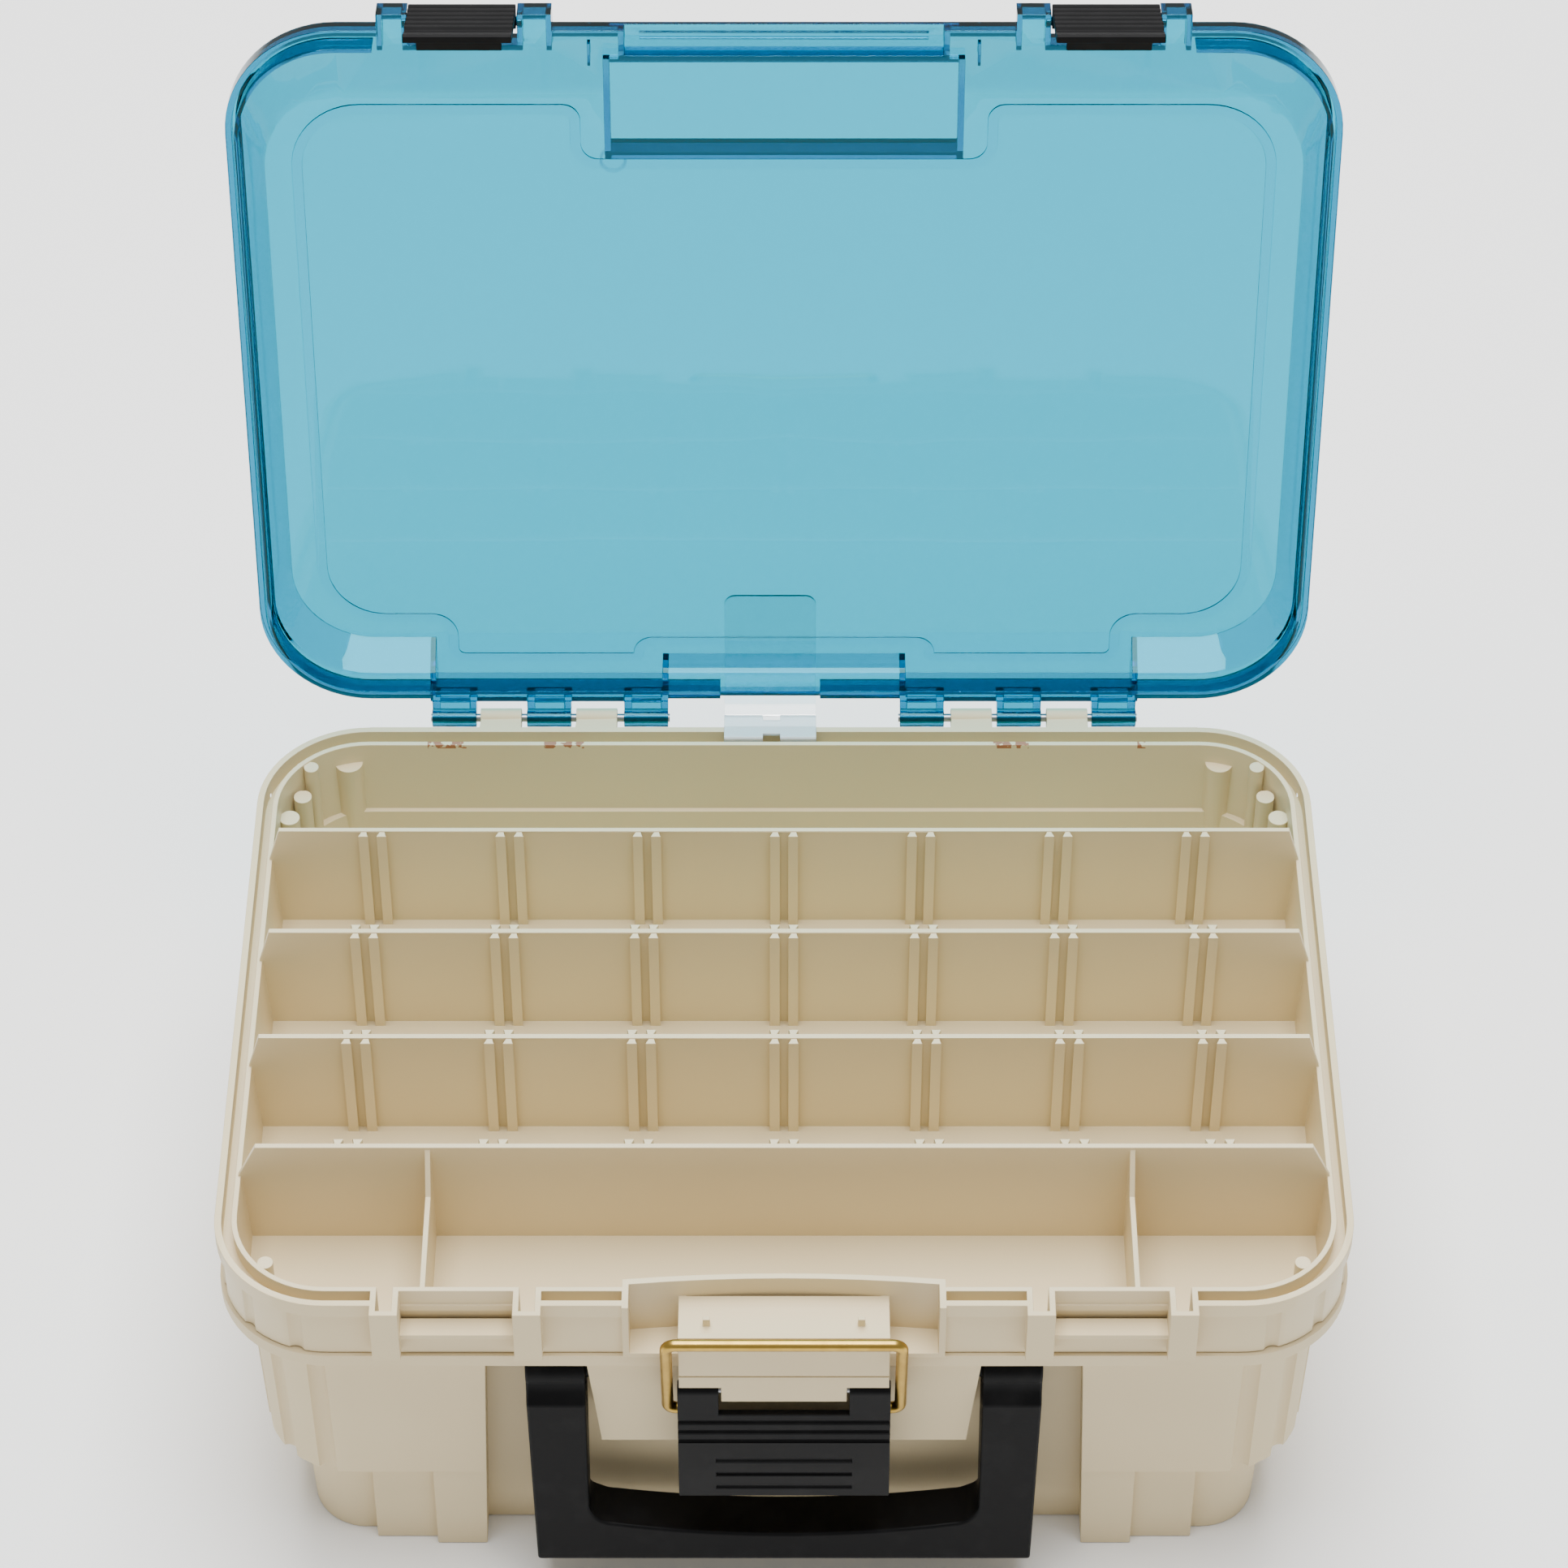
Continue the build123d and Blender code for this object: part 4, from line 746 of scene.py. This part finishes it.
@dataclass
class Lid:
    """The see-through lid with its two latches and the upper leaf of the strap."""

    lid_edge: float = 0.00030
    latch_edge: float = 0.00042
    latch_steps: int = 3
    strap_edge: float = 0.00030

    def build(self, frame: dict, clear: bpy.types.Material, black: bpy.types.Material,
              strap: bpy.types.Material) -> None:
        """Make the lid, both latches and the strap leaf.

        Args:
            frame: The loaded frame.
            clear: The finish of the lid.
            black: The finish of the latches.
            strap: The finish of the strap.
        """
        MouldedPiece("lid", "lid", "lid_plastic", self.lid_edge,
                     Skin.TRIANGLES).build(frame, clear)
        for side in Side:
            name = f"latch_{side.value}"
            MouldedPiece(name, name, "latch_plastic", self.latch_edge,
                         edge_steps=self.latch_steps).build(frame, black)
        MouldedPiece("strap_upper_leaf", "lid", "strap_plastic",
                     self.strap_edge).build(frame, strap)


@dataclass
class DrawLatch:
    """The lever and the bent wire that it pulls down over the hook block."""

    lever_edge: float = 0.00050
    lever_steps: int = 3
    # The bail turns in the lever about this point, and leans forward by this many degrees
    pivot: Point = (0.0, -0.1387, 0.0930)
    lean: float = 9.2
    wire_radius: float = 0.0020
    half_width: float = 0.03835
    length: float = 0.0412
    journal: float = 0.0312
    bend_radius: float = 0.0032
    bend_steps: int = 10
    ring_steps: int = 24

    def run_straight(self, wire: bmesh.types.BMesh, ring: list, step: Vector) -> list:
        """Draw the open ring of the wire along a straight run.

        Args:
            wire: The mesh of the wire.
            ring: The edges of the open ring.
            step: How far the ring moves.

        Returns:
            The edges of the new open ring.
        """
        made = bmesh.ops.extrude_edge_only(wire, edges=ring)["geom"]
        corners = [item for item in made if isinstance(item, bmesh.types.BMVert)]
        bmesh.ops.translate(wire, verts=corners, vec=step)
        fresh = set(corners)
        return [item for item in made if isinstance(item, bmesh.types.BMEdge)
                and item.verts[0] in fresh and item.verts[1] in fresh]

    def run_bend(self, wire: bmesh.types.BMesh, ring: list, centre: Vector) -> list:
        """Turn the open ring of the wire a quarter turn about a centre.

        Args:
            wire: The mesh of the wire.
            ring: The edges of the open ring.
            centre: The centre of the bend.

        Returns:
            The edges of the new open ring.
        """
        made = bmesh.ops.spin(wire, geom=ring, cent=centre, axis=(0, -1, 0),
                              angle=math.pi / 2, steps=self.bend_steps, use_merge=False)
        return [item for item in made["geom_last"] if isinstance(item, bmesh.types.BMEdge)]

    def bail(self) -> bmesh.types.BMesh:
        """Bend the round wire of the bail.

        Returns:
            The bail in its place, leaning just clear of the hook block.
        """
        wire = bmesh.new()
        turned = (Matrix.Translation((self.journal, 0, 0))
                  @ Matrix.Rotation(math.pi / 2, 4, "Y"))
        bmesh.ops.create_circle(wire, segments=self.ring_steps, radius=self.wire_radius,
                                matrix=turned)
        ring = list(wire.edges)
        near, top = self.half_width - self.bend_radius, self.length - self.bend_radius
        foot = self.bend_radius
        inward = Vector((near - self.journal, 0, 0))
        # Each straight run of the wire with the centre of the bend that ends it
        for step, centre in ((inward, (near, 0, foot)),
                             (Vector((0, 0, top - foot)), (near, 0, top)),
                             (Vector((-2 * near, 0, 0)), (-near, 0, top)),
                             (Vector((0, 0, foot - top)), (-near, 0, foot))):
            ring = self.run_straight(wire, ring, step)
            ring = self.run_bend(wire, ring, Vector(centre))
        self.run_straight(wire, ring, inward)
        open_edges = [edge for edge in wire.edges if edge.is_boundary]
        bmesh.ops.holes_fill(wire, edges=open_edges)
        bmesh.ops.recalc_face_normals(wire, faces=wire.faces)
        place = Matrix.Translation(self.pivot) @ Matrix.Rotation(math.radians(self.lean), 4, "X")
        bmesh.ops.transform(wire, matrix=place, verts=wire.verts)
        # Only the two cut ends, which have more than four corners, are flat
        for face in wire.faces:
            face.smooth = len(face.verts) == 4
        return wire

    def build(self, frame: dict, black: bpy.types.Material, brass: bpy.types.Material) -> None:
        """Make the lever and the bail.

        Args:
            frame: The loaded frame.
            black: The finish of the lever.
            brass: The finish of the wire.
        """
        MouldedPiece("lever", "lever", "lever_plastic", self.lever_edge,
                     edge_steps=self.lever_steps).build(frame, black)
        piece = add_object(self.bail(), "bail_wire", "bail_wire", brass)
        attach(piece, "bail")
        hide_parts("bail")
        LOG.info("%s: %d faces", piece.name, len(piece.data.polygons))


@dataclass
class CarryingHandle:
    """The black handle that folds down in front of the lower shell."""

    edge: float = 0.0016
    steps: int = 4

    def build(self, frame: dict, black: bpy.types.Material) -> None:
        """Make the handle.

        Args:
            frame: The loaded frame.
            black: The finish of the handle.
        """
        MouldedPiece("carrying_handle", "handle", "handle_plastic", self.edge,
                     edge_steps=self.steps, fillets=False).build(frame, black)


@dataclass(frozen=True)
class Softbox:
    """A square light behind a soft front, which faces the box."""

    name: str
    place: Point
    power: float
    size: float = 1.6
    aim: Point = (0.0, 0.0, 0.15)

    def hang(self) -> None:
        """Hang the softbox in its place."""
        light = bpy.data.lights.new(self.name, "AREA")
        light.shape = "SQUARE"
        light.size = self.size
        light.energy = self.power
        lamp = bpy.data.objects.new(self.name, light)
        lamp.location = self.place
        toward = Vector(self.aim) - Vector(self.place)
        lamp.rotation_euler = toward.to_track_quat("-Z", "Y").to_euler()
        bpy.context.scene.collection.objects.link(lamp)


@dataclass
class Studio:
    """Floor, light and camera, none of which belong to the box."""

    floor_size: float = 8.0
    # The paper lies this far under the box, so that the two faces don't meet
    floor_drop: float = 0.0003
    camera_place: Point = (0.0, -1.177, 1.422)
    camera_tilt: float = 45.0
    lens: float = 116.55
    sensor_width: float = 36.0
    sky_colour: str = "#FFFFFF"
    sky: float = 0.50
    softboxes: tuple[Softbox, ...] = (
        Softbox("softbox_above", (0.0, 0.05, 2.4), 98.0),
        Softbox("softbox_rear", (0.0, 1.5, 2.0), 55.0))

    def floor(self, paper: bpy.types.Material) -> None:
        """Lay the paper that the box stands on.

        Args:
            paper: The finish of the floor.
        """
        sheet = bmesh.new()
        bmesh.ops.create_grid(sheet, x_segments=1, y_segments=1, size=self.floor_size / 2,
                              matrix=Matrix.Translation((0, 0, -self.floor_drop)))
        piece = add_object(sheet, "floor_paper", "floor_paper", paper)

    def light(self) -> None:
        """Set the softboxes and the even light of a white room."""
        world = bpy.data.worlds.new("white_room")
        world.use_nodes = True
        tree = world.node_tree
        tree.nodes.clear()
        sky = add_node(tree, "ShaderNodeBackground",
                       {"Color": linear(self.sky_colour), "Strength": self.sky})
        add_node(tree, "ShaderNodeOutputWorld", links={"Surface": sky.outputs[0]})
        bpy.context.scene.world = world
        for softbox in self.softboxes:
            softbox.hang()

    def camera(self) -> None:
        """Put the camera where the photograph was taken from."""
        lens = bpy.data.cameras.new("camera")
        lens.lens = self.lens
        lens.sensor_width = self.sensor_width
        camera = bpy.data.objects.new("camera", lens)
        camera.location = self.camera_place
        camera.rotation_euler = Euler((math.radians(self.camera_tilt), 0.0, 0.0))
        bpy.context.scene.collection.objects.link(camera)
        bpy.context.scene.camera = camera


def main() -> None:
    """Build the dressed box in order."""
    logging.basicConfig(level=logging.INFO, format="%(message)s")
    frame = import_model()

    beige_shell = MouldedPolypropylene("polypropylene_beige_eroded", MouldSurface.ERODED)
    beige_tray = MouldedPolypropylene(
        "polypropylene_beige_tray", MouldSurface.ERODED_OUTSIDE,
        scuffs=((-0.1213, 0.0070), (-0.0792, 0.0072), (0.0817, 0.0064), (0.1287, 0.0015)))
    black_latch = BlackPlastic("polypropylene_black_ribbed", roughness=0.55, specular=0.08)
    black_lever = BlackPlastic("acetal_black_satin", roughness=0.38, specular=0.12,
                               relief=Relief(0.00010, 0.12))
    black_handle = BlackPlastic("polypropylene_black_handle", roughness=0.42, specular=0.10)
    steel = DrawnWire("steel_wire_drawn", "#A9ABAD", "#8D8F92").material()
    brass = DrawnWire("brass_wire_drawn", "#C7A552", "#9A7A36").material()
    milky = NaturalPolypropylene("natural_polypropylene_milky", clearness=0.50).material()
    thin = NaturalPolypropylene("natural_polypropylene_thin", clearness=0.97).material()

    LowerLevel().build(frame, beige_shell.material(), steel)
    UpperLevel().build(frame, beige_tray.material(), steel, milky)
    Lid().build(frame, TintedStyrene().material(), black_latch.material(), thin)
    DrawLatch().build(frame, black_lever.material(), brass)
    CarryingHandle().build(frame, black_handle.material())

    studio = Studio()
    studio.floor(FloorPaper().material())
    studio.light()
    studio.camera()


if __name__ == "__main__":
    main()
